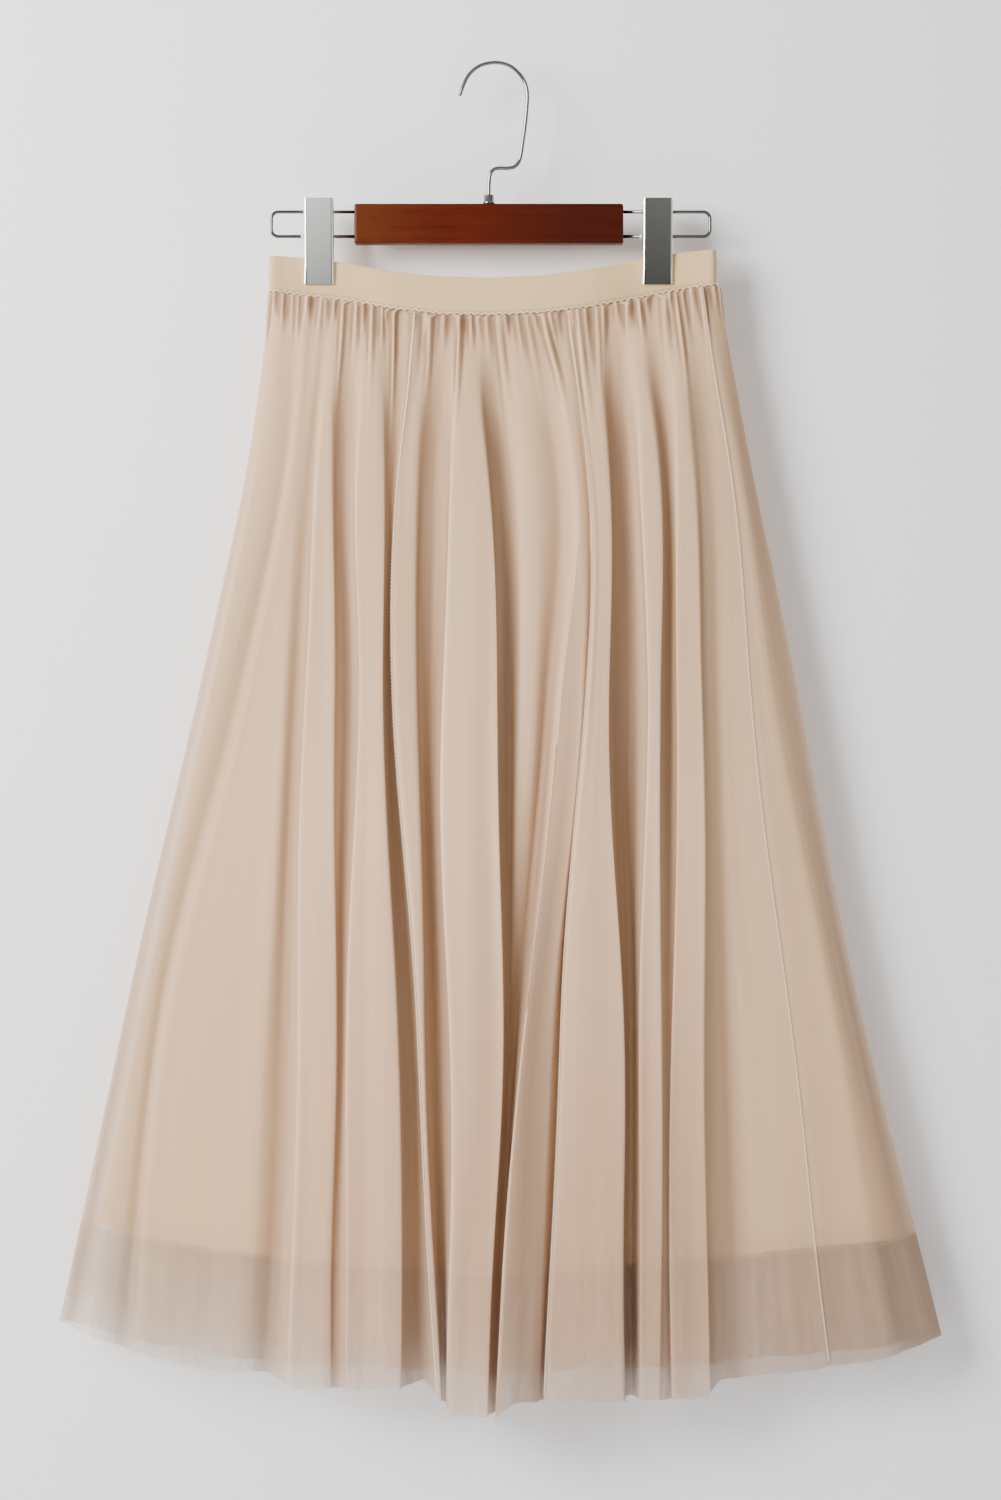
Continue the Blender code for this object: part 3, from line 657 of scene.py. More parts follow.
# Millimetres over which painted shade turns the net grey below the lining's hem.
HEM_BLEND = 2.5
cells = net.threads(across * SLANT + along * 0.5, CELL, 3.0)
cells = net.math("MAXIMUM", cells, net.threads(across * SLANT - along * 0.5, CELL, 3.0))
cells = net.math("MAXIMUM", cells, net.threads(along, CELL, 3.0))
deep = net.attribute("valley")
proud = net.attribute("proud")
edge = net.attribute("edge")
gathered = net.attribute("gathered")
hanging = net.add("ShaderNodeCombineXYZ", None, {0: net.attribute("drape"), 1: along})
streaks = net.noise(net.stretch(hanging, (170.0, 3.0, 1.0)), 1.0, 3.0)
broad_streaks = net.noise(net.stretch(hanging, (42.0, 1.6, 1.0)), 1.0, 2.0)
grain = net.noise(net.stretch(cloth, (1500.0, 1500.0, 1.0)), 1.0, 1.0)
# The folds that stand out are lighter and pinker: partly layered net, partly painted light on what stands
# out.
tone = net.mix(proud, (0.66, 0.455, 0.30), (0.84, 0.545, 0.36))
tone = net.mix(gathered * 0.55, tone, (0.65, 0.405, 0.215))
# Painted shade: the valleys are painted dark brown.
tone = net.mix(deep * 0.95, tone, (0.25, 0.145, 0.078))
# Painted shade in the concave creases, stronger near the gathers.
tone = net.mix(net.attribute("crease_shade") * (gathered * 0.6 + 0.5), tone, (0.30, 0.175, 0.095))
# Painted shade below the lining's hem, stronger towards the right, away from the light on the left.
to_the_right = net.part(net.coordinates("Object"), 0)
shaded_side = net.within(to_the_right * 3.3 + 0.2) * 0.6 + 0.4
uncovered = net.within(net.attribute("below_lining") * (1 / HEM_BLEND))
uncovered = uncovered * shaded_side * (1.0 - proud * 0.6)
tone = net.mix(uncovered * 0.97, tone, (0.18, 0.135, 0.105))
right = net.above(to_the_right * 4.0)
# Darker towards the hem, more on the folds that stand out there; the extra darkening to the right is
# painted shade, away from the light on the left.
darker_low_and_right = net.above(1.0 - along * 2.3) * (proud * 0.7 + 0.3)
tone = net.mix(darker_low_and_right * (right * 0.65 + 0.6), tone, (0.41, 0.25, 0.155))
tone = net.mix((broad_streaks - 0.45) * 0.7, tone, (0.52, 0.33, 0.20))
tone = net.mix((streaks - 0.35) * 0.25, tone, (0.92, 0.70, 0.52))
# Painted highlight along the crests of the folds, where net seen edge-on also looks denser.
tone = net.mix(edge * 0.12, tone, (0.95, 0.76, 0.58))
near_hem = net.above(1.0 - along * 7.0)
crumple = net.noise(net.stretch(hanging, (300.0, 45.0, 1.0)), 1.0, 2.0)
cover = cells * 0.24 + proud * 0.20 + gathered * 0.36 + deep * 0.34 + edge * 0.08 + 0.36
cover = cover + uncovered * (right * 0.32 + 0.06) + (crumple - 0.5) * near_hem * 0.4
raw_edge = net.above(1.0 - along * 26.0)
cover = cover - raw_edge * 0.26
cover = cover + (streaks - 0.5) * 0.16 + (broad_streaks - 0.5) * 0.30 + (grain - 0.5) * 0.2
net.set(
    Base_Color=tone,
    Roughness=0.75,
    Sheen_Weight=0.2,
    Sheen_Roughness=0.4,
    Specular_IOR_Level=0.2,
    Alpha=net.math("MINIMUM", net.above(cover, LEAST_COVER), MOST_COVER),
)
net.bump(cells * 0.05 + streaks * 0.25 + crumple * near_hem * 0.7, 0.6, 0.001)
print("net cell mm", CELL * 1000)

# %% [markdown]
# ## The six gores
# The net is cut in six gores, three in front and three behind. Their seams follow fixed corner
# numbers of the level lines, as a seam follows the cloth it is sewn in. The rectangle that each
# gore is cut from is worked out from its own UV map, with an allowance for the seams, and kept
# until its seam is sewn.

# %% Make the gores
GORES = (
    ("gore_front_left", "tulle_front_left", -1, 12),
    ("gore_front_centre", "tulle_front_centre", 12, 24),
    ("gore_front_right", "tulle_front_right", 24, 33.5),
    ("gore_back_right", "tulle_back_right", 33.5, 45),
    ("gore_back_centre", "tulle_back_centre", 45, 57),
    ("gore_back_left", "tulle_back_left", 57, ALL_CORNERS - 1),
)
TULLE_INWARD = 0.5
COLUMN_PITCH = 2.2
GORE_TOP_ALLOWANCE = 0.01
gore_cuts = {}
for piece, node, first, last in GORES:
    some_lines = tulle_lines[::12] + tulle_lines[-1:]
    widest = max(line.place([last])[0] - line.place([first])[0] for line in some_lines)
    numbers = even_numbers(tulle_lines, first, last, int(widest / COLUMN_PITCH))
    places = seam_to_seam(tulle_lines, numbers)
    back = np.asarray(numbers) % ALL_CORNERS >= FRONT_CORNERS - 1
    grid, shade = sheet_grid(tulle_lines, tulle_downs, places, tulle_heights, TULLE_INWARD, back)
    made = finish_piece(piece, bend_grid(piece, grid, shade), net.material, [node])
    flat, cut = cut_of(made, widest, float(grid[1][0, :, 1].max()) * MM + GORE_TOP_ALLOWANCE)
    gore_cuts[last] = (made, flat, cut)
    print(piece, "flat", flat, "cut m2", round(cut, 3), "faces", len(made.data.polygons))

# %% [markdown]
# ## The lining
# The lining is a plain satin slip in two pieces, a hand shorter than the net. It is what makes the
# skirt look warm: the net over it shows its colour, and below its hem only the room shows through.
# It hangs almost straight, so its level lines have low, wide waves in place of ridges.


# %% Make the lining
def lining_line(down):
    """The lining's level line at a fraction of its length, a little inside the net's edges."""
    lower = down * (1 - LINING_SHORTER / SKIRT_LENGTH)
    inset = 5.0 + 3.5 * lower
    left = between(lower, LEVELS, LEFT_EDGE) + inset
    right = between(lower, LEVELS, RIGHT_EDGE) - inset
    middle = (left + right) / 2
    half = (right - left) / 2
    corners = []
    for across, height in LINING_FRONT:
        depth = layer_depth(LINING_FRONT_DEPTH, lower, across) + height * lower
        corners.append((len(corners), middle + half * across, -depth))
    corners.append((len(corners), right, 0.0))
    for across, height in LINING_BACK:
        depth = layer_depth(LINING_BACK_DEPTH, lower, across) + height * lower
        corners.append((len(corners), middle + half * across, depth))
    corners.append((len(corners), left, 0.0))
    return LevelLine(corners, 2.0 + 4.0 * lower, None, len(corners))


def lining_heights(top_x, low_x, back):
    """The lining's edges: the waist seam and its hem."""
    return edge_height(top_x, BAND_EDGES, 2) - 0.2, edge_height(low_x, HEM_EDGES, 2) + LINING_SHORTER


satin = Finish("lining_satin_finish")
cloth = satin.cloth_map()
above_hem = satin.part(cloth, 1)
thread = satin.noise(satin.stretch(cloth, (1400.0, 90.0, 1.0)), 1.0, 2.0)
HEM_DEPTH = 0.012
HEM_STITCH = 0.003
turned = satin.math("LESS_THAN", above_hem, HEM_DEPTH)
stitch_row = satin.math("LESS_THAN", satin.math("ABSOLUTE", above_hem - HEM_DEPTH), 0.0005)
stitch_wave = satin.math("SINE", satin.part(cloth, 0) * (math.tau / HEM_STITCH))
stitches = stitch_row * satin.math("GREATER_THAN", stitch_wave, -0.3)
lining_tone = satin.mix((thread - 0.3) * 0.4, (0.90, 0.645, 0.335), (0.97, 0.725, 0.41))
lining_tone = satin.mix(turned * 0.25, lining_tone, (0.62, 0.42, 0.26))
lining_tone = satin.mix(stitches, lining_tone, (0.50, 0.32, 0.20))
satin.set(Base_Color=lining_tone, Roughness=0.48, Sheen_Weight=0.15, Specular_IOR_Level=0.4)
satin.bump(thread * 0.3 - stitches, 0.3, 0.0003)

LINING_INWARD = 0.5
LINING_ALLOWANCE = 0.02
lining_downs = np.linspace(0, 1, 48)
lining_lines = [lining_line(down) for down in lining_downs]
front_end = len(LINING_FRONT)
back_end = front_end + 1 + len(LINING_BACK)
for piece, node, first, last in (
    ("lining_front_cloth", "lining_front", -1, front_end),
    ("lining_back_cloth", "lining_back", front_end, back_end),
):
    numbers = even_numbers(lining_lines, first, last, 150)
    places = seam_to_seam(lining_lines, numbers)
    in_front = np.zeros(len(numbers))
    grid, shade = sheet_grid(lining_lines, lining_downs, places, lining_heights, LINING_INWARD, in_front)
    made = finish_piece(piece, bend_grid(piece, grid, shade), satin.material, [node])
    hem_width = float(np.ptp(grid[1][-1, :, 0]))
    flat, cut = cut_of(made, hem_width, float(grid[1][0, :, 1].max()) * MM + LINING_ALLOWANCE)
    print(piece, "flat", flat, "cut m2", round(cut, 3))

# %% [markdown]
# ## The elastic waist
# The waist is one loop of knitted elastic, folded flat by the hanger: open in the middle, its two
# sides pressed together in the clips. It is thick enough to have rounded edges, so it is made as a
# ring with a profile: a flat grid is wrapped round the profile one way and round the loop the
# other, and its four borders are merged. Away from the clips the elastic bulges a little.

# %% Make the waistband
BAND_WALL = 2.2
BAND_HALF_DEPTH = 6.5
PINCHED_HALF_DEPTH = 2.45
CLIP_LEFT_X = -128.0
CLIP_RIGHT_X = 115.5
CLIP_WIDTH = 22.0


def band_line():
    """The elastic's level line."""
    left = LEFT_EDGE[0] + 1.0
    right = RIGHT_EDGE[0] - 4.0
    front = []
    for x in np.linspace(left + 3, right - 3, 34):
        nearest = min(abs(x - CLIP_LEFT_X), abs(x - CLIP_RIGHT_X))
        opened = np.clip((nearest - CLIP_WIDTH / 2 - 2) / 40, 0, 1)
        opened = opened * opened * (3 - 2 * opened)
        front.append((x, PINCHED_HALF_DEPTH + (BAND_HALF_DEPTH - PINCHED_HALF_DEPTH) * opened))
    corners = [(x, -depth) for x, depth in front] + [(right, 0.0)]
    corners += [(x, depth) for x, depth in reversed(front)] + [(left, 0.0)]
    return LevelLine([(n, x, y) for n, (x, y) in enumerate(corners)], 2.0, None, len(corners))


band = band_line()
BAND_COLUMNS = 900
BAND_HEIGHT = 28.0
INNER_SIDE = 30.0
half_wall = BAND_WALL / 2
EDGE_STEPS = 6
SIDE_STEPS = 14
profile = []
for step in range(SIDE_STEPS + 1):
    profile.append((half_wall, 1 - step / SIDE_STEPS, 0.0))
for step in range(1, EDGE_STEPS):
    angle = math.pi * step / EDGE_STEPS
    profile.append((half_wall * math.cos(angle), 0.0, -half_wall * math.sin(angle)))
for step in range(SIDE_STEPS + 1):
    profile.append((-half_wall, step / SIDE_STEPS, 0.0))
for step in range(1, EDGE_STEPS):
    angle = math.pi * step / EDGE_STEPS
    profile.append((-half_wall * math.cos(angle), 1.0, half_wall * math.sin(angle)))
profile.append(profile[0])
spots = np.linspace(0, band.length, BAND_COLUMNS + 1)
points, normals = band.at(spots)
upper = edge_height(points[:, 0], BAND_EDGES, 1)
lower = edge_height(points[:, 0], BAND_EDGES, 2)
ripple = chance.uniform(-1, 1, 60)
ripple = np.interp(spots, np.linspace(0, band.length, 60), np.append(ripple[:-1], ripple[0]))
pinched = np.minimum(np.abs(points[:, 0] - CLIP_LEFT_X), np.abs(points[:, 0] - CLIP_RIGHT_X))
free = np.clip((pinched - CLIP_WIDTH / 2) / 6, 0, 1)
band_rows = []
band_cloth = []
for out, up, over in profile:
    bulge = 0.35 * math.sin(math.pi * up) + 0.25 * ripple * math.sin(math.pi * up) ** 2
    thin = out + np.sign(out) * bulge * free
    middle = points - normals * (half_wall + 0.1)
    height = lower + half_wall + (upper - lower - BAND_WALL) * up + over
    band_rows.append(np.column_stack([middle + normals * thin[:, None], height]))
    up_cloth = BAND_HEIGHT * up + (INNER_SIDE if out < 0 else 0.0)
    band_cloth.append(np.column_stack([spots, np.full(len(spots), up_cloth)]))
mesh = bend_grid("waistband_elastic", (np.array(band_rows), np.array(band_cloth)))
close_up(mesh, 0.00001)

elastic = Finish("waist_elastic_finish")
cloth = elastic.cloth_map()
ribs = elastic.threads(elastic.part(cloth, 1), 0.0011, 1.0)
knit = elastic.threads(elastic.part(cloth, 0), 0.0014, 1.0)
fuzz = elastic.noise(elastic.stretch(cloth, (700.0, 700.0, 1.0)), 1.0, 3.0)
elastic_tone = elastic.mix(fuzz * 0.6, (0.58, 0.385, 0.185), (0.68, 0.465, 0.245))
elastic_tone = elastic.mix(ribs * knit * 0.15, elastic_tone, (0.78, 0.58, 0.38))
# Painted shade along the lower edge, in the groove where the zigzag sinks in, so the pale thread shows.
seam_groove_shade = elastic.math("LESS_THAN", elastic.part(cloth, 1), 0.0026)
elastic_tone = elastic.mix(seam_groove_shade * 0.5, elastic_tone, (0.40, 0.25, 0.13))
left_side = elastic.above(elastic.part(elastic.coordinates("Object"), 0) * -4.0)
elastic_tone = elastic.mix(left_side * 0.35, elastic_tone, (0.50, 0.33, 0.15))
elastic.set(Base_Color=elastic_tone, Roughness=0.72, Sheen_Weight=0.2, Specular_IOR_Level=0.3)
elastic.bump(ribs * 0.5 + knit * 0.5 + fuzz, 0.25, 0.0002)
waist = finish_piece("waistband_elastic", mesh, elastic.material, ["waistband"])
print("waistband loop mm", round(band.length), "faces", len(mesh.polygons))

# %% [markdown]
# ## Thread
# A zigzag of thread joins the net to the elastic, and an overlock seam binds the edges where two
# gores meet: a strip inside the cloth, and for the three seams that show, a line of small stitches
# outside it. Thread is a thin round tube along a path, so a curve with a bevel makes it, and the
# curve is then kept as a mesh.


# %% Sew the seams
def tube(name, points, thickness, material, nodes=(), sides=2, cyclic=False, slim_ends=None):
    """A round thread or wire along points in millimetres, as a mesh with closed ends."""
    curve = bpy.data.curves.new(name, "CURVE")
    curve.dimensions = "3D"
    curve.bevel_depth = thickness / 2 * MM
    curve.bevel_resolution = sides
    curve.use_fill_caps = not cyclic
    spline = curve.splines.new("POLY")
    spline.points.add(len(points) - 1)
    for number, (place, point) in enumerate(zip(spline.points, points)):
        place.co = (point[0] * MM, point[1] * MM, point[2] * MM, 1.0)
        from_end = min(number, len(points) - 1 - number)
        if slim_ends and from_end < len(slim_ends):
            place.radius = slim_ends[from_end]
    spline.use_cyclic_u = cyclic
    shaped = bpy.data.objects.new(name, curve)
    mesh = bpy.data.meshes.new_from_object(shaped)
    bpy.data.objects.remove(shaped)
    close_up(mesh, 0.000005)
    return finish_piece(name, mesh, material, nodes)


sewing = Finish("sewing_thread_finish")
twist = sewing.noise(sewing.coordinates("Object"), 2500.0, 1.0)
thread_tone = sewing.mix(twist, (0.88, 0.74, 0.57), (0.97, 0.87, 0.73))
sewing.set(Base_Color=thread_tone, Roughness=0.55, Sheen_Weight=0.2)
sewing.bump(twist, 0.3, 0.0001)

STITCH = 2.5
ZIGZAG_THREAD = 0.85
SEAM_STITCH = 1.3
SEAM_THREAD = 0.6
count = int(band.length / STITCH) // 2 * 2
spots = (np.arange(count) + 0.5) * band.length / count
points, normals = band.at(spots)
seam_z = edge_height(points[:, 0], BAND_EDGES, 2)
zigzag = np.where(np.arange(count) % 2 == 0, 0.3, 2.1)
thread_points = np.column_stack([points + normals * 0.35, seam_z + zigzag])
zigzag_thread = tube(
    "waist_zigzag_thread", thread_points, ZIGZAG_THREAD, sewing.material, sides=1, cyclic=True
)
print("zigzag stitches", count)

binding = Finish("overlock_seam_finish")
cloth = binding.cloth_map()
loops = binding.threads(binding.part(cloth, 1), 0.0022, 1.5)
slanted = binding.threads(binding.part(cloth, 1) + binding.part(cloth, 0) * 0.9, 0.0016, 1.5)
binding.set(
    Base_Color=binding.mix(slanted, (0.56, 0.41, 0.29), (0.76, 0.60, 0.45)),
    Roughness=0.7,
    Sheen_Weight=0.2,
    Alpha=binding.math("MINIMUM", slanted * 0.25 + (loops * 0.2 + 0.55), 0.95),
)
binding.bump(slanted, 0.4, 0.0003)
SEAM_WIDTH = 3.6
for name, seam in (
    ("seam_front_left", 12), ("seam_front_right", 24), ("seam_side_right", 33.5),
    ("seam_back_right", 45), ("seam_back_left", 57), ("seam_side_left", ALL_CORNERS - 1),
):
    places = []
    for line in tulle_lines:
        middle = line.place([seam])[0]
        places.append(middle + np.linspace(-SEAM_WIDTH / 2, SEAM_WIDTH / 2, 4))
    back = np.full(4, FRONT_CORNERS - 1 <= seam < ALL_CORNERS - 1)
    grid, shade = sheet_grid(tulle_lines, tulle_downs, places, tulle_heights, 1.1, back)
    sewn_on = [finish_piece(name, bend_grid(name, grid, shade), binding.material, ())]
    if name in ("seam_front_left", "seam_front_right", "seam_side_right"):
        middle = [line.place([seam])[0] for line in tulle_lines]
        heights = tulle_heights(grid[0][0, :, 0], grid[0][-1, :, 0], back)
        upper, lower = (edge[1] for edge in heights)
        count = int(SKIRT_LENGTH / SEAM_STITCH)
        thread = []
        for number, down in enumerate(np.linspace(0.0, 0.995, count)):
            near = min(int(np.searchsorted(tulle_downs, down)), len(tulle_lines) - 1)
            before = max(near - 1, 0)
            share = (down - tulle_downs[before]) / max(tulle_downs[near] - tulle_downs[before], 1e-9)
            sway = 0.5 if number % 2 else -0.5
            ends = [tulle_lines[k].at([middle[k] + sway]) for k in (before, near)]
            spot = sum(w * (p[0] + 0.3 * n[0]) for w, (p, n) in zip((1 - share, share), ends))
            thread.append((spot[0], spot[1], upper + (lower - upper) * down))
        sewn_on.append(tube(f"{name}_thread", thread, SEAM_THREAD, sewing.material, sides=0))
    gore, flat, cut = gore_cuts[seam]
print("seams sewn", len(gore_cuts))

# %% [markdown]
# ## The hanger
# The bar is a plain strip of wood with softened edges under a red-brown lacquer. It is lighter at
# its left end and darker at its right, partly uneven stain and partly painted light and shade for
# the lamp on the left. Its shape comes from the measured frame and only its finish is made here.
# The wires are drawn steel with chrome, and the pressed clips are plated too, so one function makes
# all the metals. On a clip it also paints shade on the crease beside each bend, a painted highlight
# on the bend itself and painted shade towards its lower end.

# %% Finish for wood and metals
wood = Finish("lacquered_wood_finish")
spot = wood.coordinates("Object")
grain = wood.noise(wood.stretch(spot, (9.0, 160.0, 260.0)), 1.0, 6.0, 0.6)
pores = wood.noise(wood.stretch(spot, (60.0, 900.0, 1500.0)), 1.0, 2.0, 0.5)
along_bar = wood.part(spot, 0)
# Lighter towards the left end: partly stain, partly painted light from the lamp on the left.
stain_and_light_left_end = wood.above(-0.63 - along_bar * 14.0)
wood_tone = wood.mix(grain, (0.028, 0.0022, 0.0005), (0.10, 0.012, 0.0018))
wood_tone = wood.mix(wood.math("MINIMUM", stain_and_light_left_end, 0.75), wood_tone, (0.085, 0.020, 0.0045))
# Darker towards the right end: partly stain, partly painted shade away from the lamp.
stain_and_shade_right_end = wood.math("MINIMUM", wood.above(along_bar * 8.0 + 0.16), 0.6)
wood_tone = wood.mix(stain_and_shade_right_end, wood_tone, (0.020, 0.0016, 0.0004))
open_pores = wood.math("GREATER_THAN", pores, 0.62)
wood_tone = wood.mix(open_pores * 0.35, wood_tone, (0.018, 0.0015, 0.0004))
wood.set(
    Base_Color=wood_tone,
    Roughness=grain * 0.12 + 0.36,
    Specular_IOR_Level=0.08,
    Coat_Weight=0.08,
    Coat_Roughness=0.2,
)
wood.bump(grain * 0.6 + pores * 0.4, 0.08, 0.0002)
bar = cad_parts["hanger_bar"]
bar.data.materials.clear()
bar.data.materials.append(wood.material)


SHADED_CREASE_ASIDE = 0.0086
HIGHLIGHTED_BEND_ASIDE = 0.0094


def metal(name, colour, rough, brushed, fade=0.0, solid=1.0, centre=None):
    """A plated metal with polishing lines, darkened by painted shade towards its lower end as fade says.
    A clip is given its centre, for painted shade beside its bends and a painted highlight on them.
    """
    made = Finish(name)
    lines = made.noise(made.stretch(made.coordinates("Object"), brushed), 1.0, 3.0)
    # Painted shade towards the clip's lower end.
    down_clip = made.math("MULTIPLY_ADD", made.part(made.coordinates("Object"), 2), -16.0, -1.55)
    fall = made.math("MINIMUM", made.above(down_clip), 1.0) * fade
    plated = made.mix(lines, tuple(c * 0.93 for c in colour), colour)
    shown = made.mix(fall, plated, tuple(c * 0.45 for c in colour))
    if centre is not None:
        aside = made.math("ABSOLUTE", made.part(made.coordinates("Object"), 0) - centre * MM)
        crease_shade = made.math("GREATER_THAN", aside, SHADED_CREASE_ASIDE)
        bend = made.math("GREATER_THAN", aside, HIGHLIGHTED_BEND_ASIDE)
        # Painted shade on the crease beside each bend, and a painted highlight on the bend.
        shown = made.mix(crease_shade * 0.75, shown, (0.06, 0.06, 0.055))
        shown = made.mix(bend * 0.95, shown, (1.0, 1.0, 0.98))
    made.set(Base_Color=shown, Metallic=solid)
    made.set(Roughness=lines * 0.08 + (rough - 0.04))
    made.bump(lines, 0.03, 0.0001)
    return made.material


# The hook's and loops' chrome is made dark, the loops darker: painted shade for the dark reflections along
# the thin wires.
chrome = metal("hook_chrome_finish", (0.24, 0.235, 0.22), 0.12, (900.0, 900.0, 60.0))
loop_chrome = metal("loop_chrome_finish", (0.15, 0.15, 0.14), 0.14, (60.0, 900.0, 900.0))
# The two clips are the same plated steel: the left one is painted bright, a painted reflection of the lit
# wall, and the right one dark, a painted reflection of the darker room.
CLIP_BRUSHED = (1200.0, 1200.0, 50.0)
clip_left = metal("left_clip_bright_painted_reflection", (0.97, 0.97, 0.93), 0.20, CLIP_BRUSHED, 0.9, 0.75, CLIP_LEFT_X)
clip_right = metal("right_clip_dark_painted_reflection", (0.34, 0.33, 0.30), 0.17, CLIP_BRUSHED, 0.8, 1.0, CLIP_RIGHT_X)
spring_steel = metal("spring_steel_finish", (0.50, 0.50, 0.50), 0.28, (800.0, 800.0, 800.0))
print("metals ready")

# %% [markdown]
# ## Hook, collar and wire loops
# The hook is one wire: a round crown, a straight shank and a short crank down into the collar. Its
# path is a handful of places joined by a smooth curve, and its cut tip is rounded.

# %% Make the hook and the loops
BAR_LENGTH = 193.5
BAR_HEIGHT = 28.7
BAR_X = -5.9
BAR_Z = -115.2
LOOP_UPPER_Z = -106.1
LOOP_LOWER_Z = -123.8
LOOP_WIRE = 2.5
LOOP_CORNER = 5.0
HOOK_WIRE = 2.8
HOOK_PATH = (
    (-26.6, -21.5), (-24.5, -15.6), (-21.4, -9.0), (-17.0, -3.9), (-11.3, -0.4), (-5.0, 1.2),
    (0.3, 1.4), (5.3, 0.6), (10.3, -1.6), (15.1, -5.6), (19.1, -10.9), (21.3, -16.8),
    (21.9, -23.6), (21.4, -32.5), (20.2, -44.2), (18.7, -55.0), (17.4, -63.8), (15.9, -69.6),
    (12.7, -73.4), (7.6, -74.6), (2.0, -74.5), (-2.0, -75.3), (-4.6, -78.2), (-5.6, -84.0),
    (-5.9, -93.0), (-5.9, -103.0), (-5.9, -110.0),
)
steps = np.linspace(0, len(HOOK_PATH) - 1, 6 * len(HOOK_PATH))
hook_x = between(steps, range(len(HOOK_PATH)), [point[0] for point in HOOK_PATH])
hook_z = between(steps, range(len(HOOK_PATH)), [point[1] for point in HOOK_PATH])
hook_points = [(x, 0.0, z) for x, z in zip(hook_x, hook_z)]
tip = np.array(hook_points[0])
outward = tip - np.array(hook_points[1])
outward /= np.linalg.norm(outward)
rounding = [math.sin(angle) for angle in np.linspace(0.15, math.pi / 2, 6)]
tip_points = [tuple(tip + outward * HOOK_WIRE / 2 * math.sqrt(1 - r * r)) for r in rounding]
tube(
    "hook_wire_bent", tip_points[:-1] + hook_points, HOOK_WIRE, chrome, ["hook_wire"], 6,
    slim_ends=rounding[:-1],
)


def loop_path(end, far):
    """One wire loop: in from the bar's end, round two corners and back."""
    way = 1 if far > end else -1
    inside = end - way * 12.0
    found = [(inside, 0.0, LOOP_UPPER_Z)]
    for corner_z, start in ((LOOP_UPPER_Z, 90), (LOOP_LOWER_Z, 0)):
        centre_z = corner_z - LOOP_CORNER if start == 90 else corner_z + LOOP_CORNER
        for part in range(13):
            angle = math.radians(start - 7.5 * part)
            x = far - way * LOOP_CORNER + way * LOOP_CORNER * math.cos(angle)
            found.append((x, 0.0, centre_z + LOOP_CORNER * math.sin(angle)))
    found.append((inside, 0.0, LOOP_LOWER_Z))
    return found


for side, end, far in (("left", BAR_X - BAR_LENGTH / 2, -162.4), ("right", BAR_X + BAR_LENGTH / 2, 153.4)):
    path = loop_path(end, far)
    tube(f"loop_{side}_bent", path, LOOP_WIRE, loop_chrome, [f"wire_loop_{side}"], 6)

COLLAR_TOP = BAR_Z + BAR_HEIGHT / 2 + 0.3 + 6.6
COLLAR_PROFILE = (
    (1.6, 0.0), (3.0, 0.0), (3.6, -0.3), (3.8, -0.9), (3.8, -4.6), (4.1, -5.0), (4.3, -5.5), (4.3, -6.2),
    (4.1, -6.5), (1.6, -6.6),
)
work = bmesh.new()
corners = [work.verts.new((radius * MM, 0.0, (COLLAR_TOP + z) * MM)) for radius, z in COLLAR_PROFILE]
edges = [work.edges.new(pair) for pair in zip(corners, corners[1:])]
bmesh.ops.spin(
    work, geom=corners + edges, cent=(0, 0, 0), axis=(0, 0, 1), angle=math.tau, steps=48, use_merge=True
)
bmesh.ops.remove_doubles(work, verts=list(work.verts), dist=0.00001)
bmesh.ops.translate(work, verts=list(work.verts), vec=(BAR_X * MM, 0, 0))
bmesh.ops.recalc_face_normals(work, faces=list(work.faces))
mesh = bpy.data.meshes.new("hook_collar_turned")
work.to_mesh(mesh)
work.free()
mesh.set_sharp_from_angle(angle=math.radians(40))
finish_piece("hook_collar_turned", mesh, chrome, ["hook_collar"])
print("hook points", len(hook_points))

# %% [markdown]
# ## The clips
# Each clip is two pressed trays hinged on the lower wire and shut by a coiled spring. A tray is a
# flat face with two flanges bent back from it over a small radius. Seen from the front, that bend
# is the bright line down each side of the clip, so the radius is really made, and a painted
# highlight on the bend and painted shade on the crease beside it add to it. A sheet given its
# thickness after it is bent keeps the same gauge round the bend, as pressed steel does. The small
# round ear beside each clip is the head of the pin that it turns on.

# %% Make the clips
CLIP_SHEET = 1.1
BEND = 2.1
LIP_DEPTH = 2.0
EAR_RADIUS = 2.3
EAR_THICKNESS = 1.6
SPRING_WIRE = 1.0
# height, how far the flanges reach back, how far the face lies from the wires
JAW_ROWS = (
    (-97.3, 2.2, 9.4), (-101.0, 4.6, 9.0), (-112.0, 4.9, 7.9), (-119.6, 4.6, 7.2), (-120.6, 9.9, 7.1),
    (-127.0, 9.5, 6.6), (-128.0, 3.2, 6.5), (-136.0, 1.6, 5.3), (-140.0, 1.3, 4.1), (-158.7, 1.3, 4.1),
)


def jaw_profile(width, reach, face):
    """Half a tray's section, from the flange's back edge to its face: side, depth."""
    bend = min(BEND, reach * 0.8)
    found = [(width / 2, face - reach), (width / 2, face - bend)]
    for part in range(1, 5):
        angle = math.pi / 2 * part / 5
        found.append((width / 2 - bend * (1 - math.cos(angle)), face - bend * (1 - math.sin(angle))))
    found += [(width / 2 - bend, face), (width / 2 - bend - 0.6, face), (width / 4, face + 0.12)]
    return found


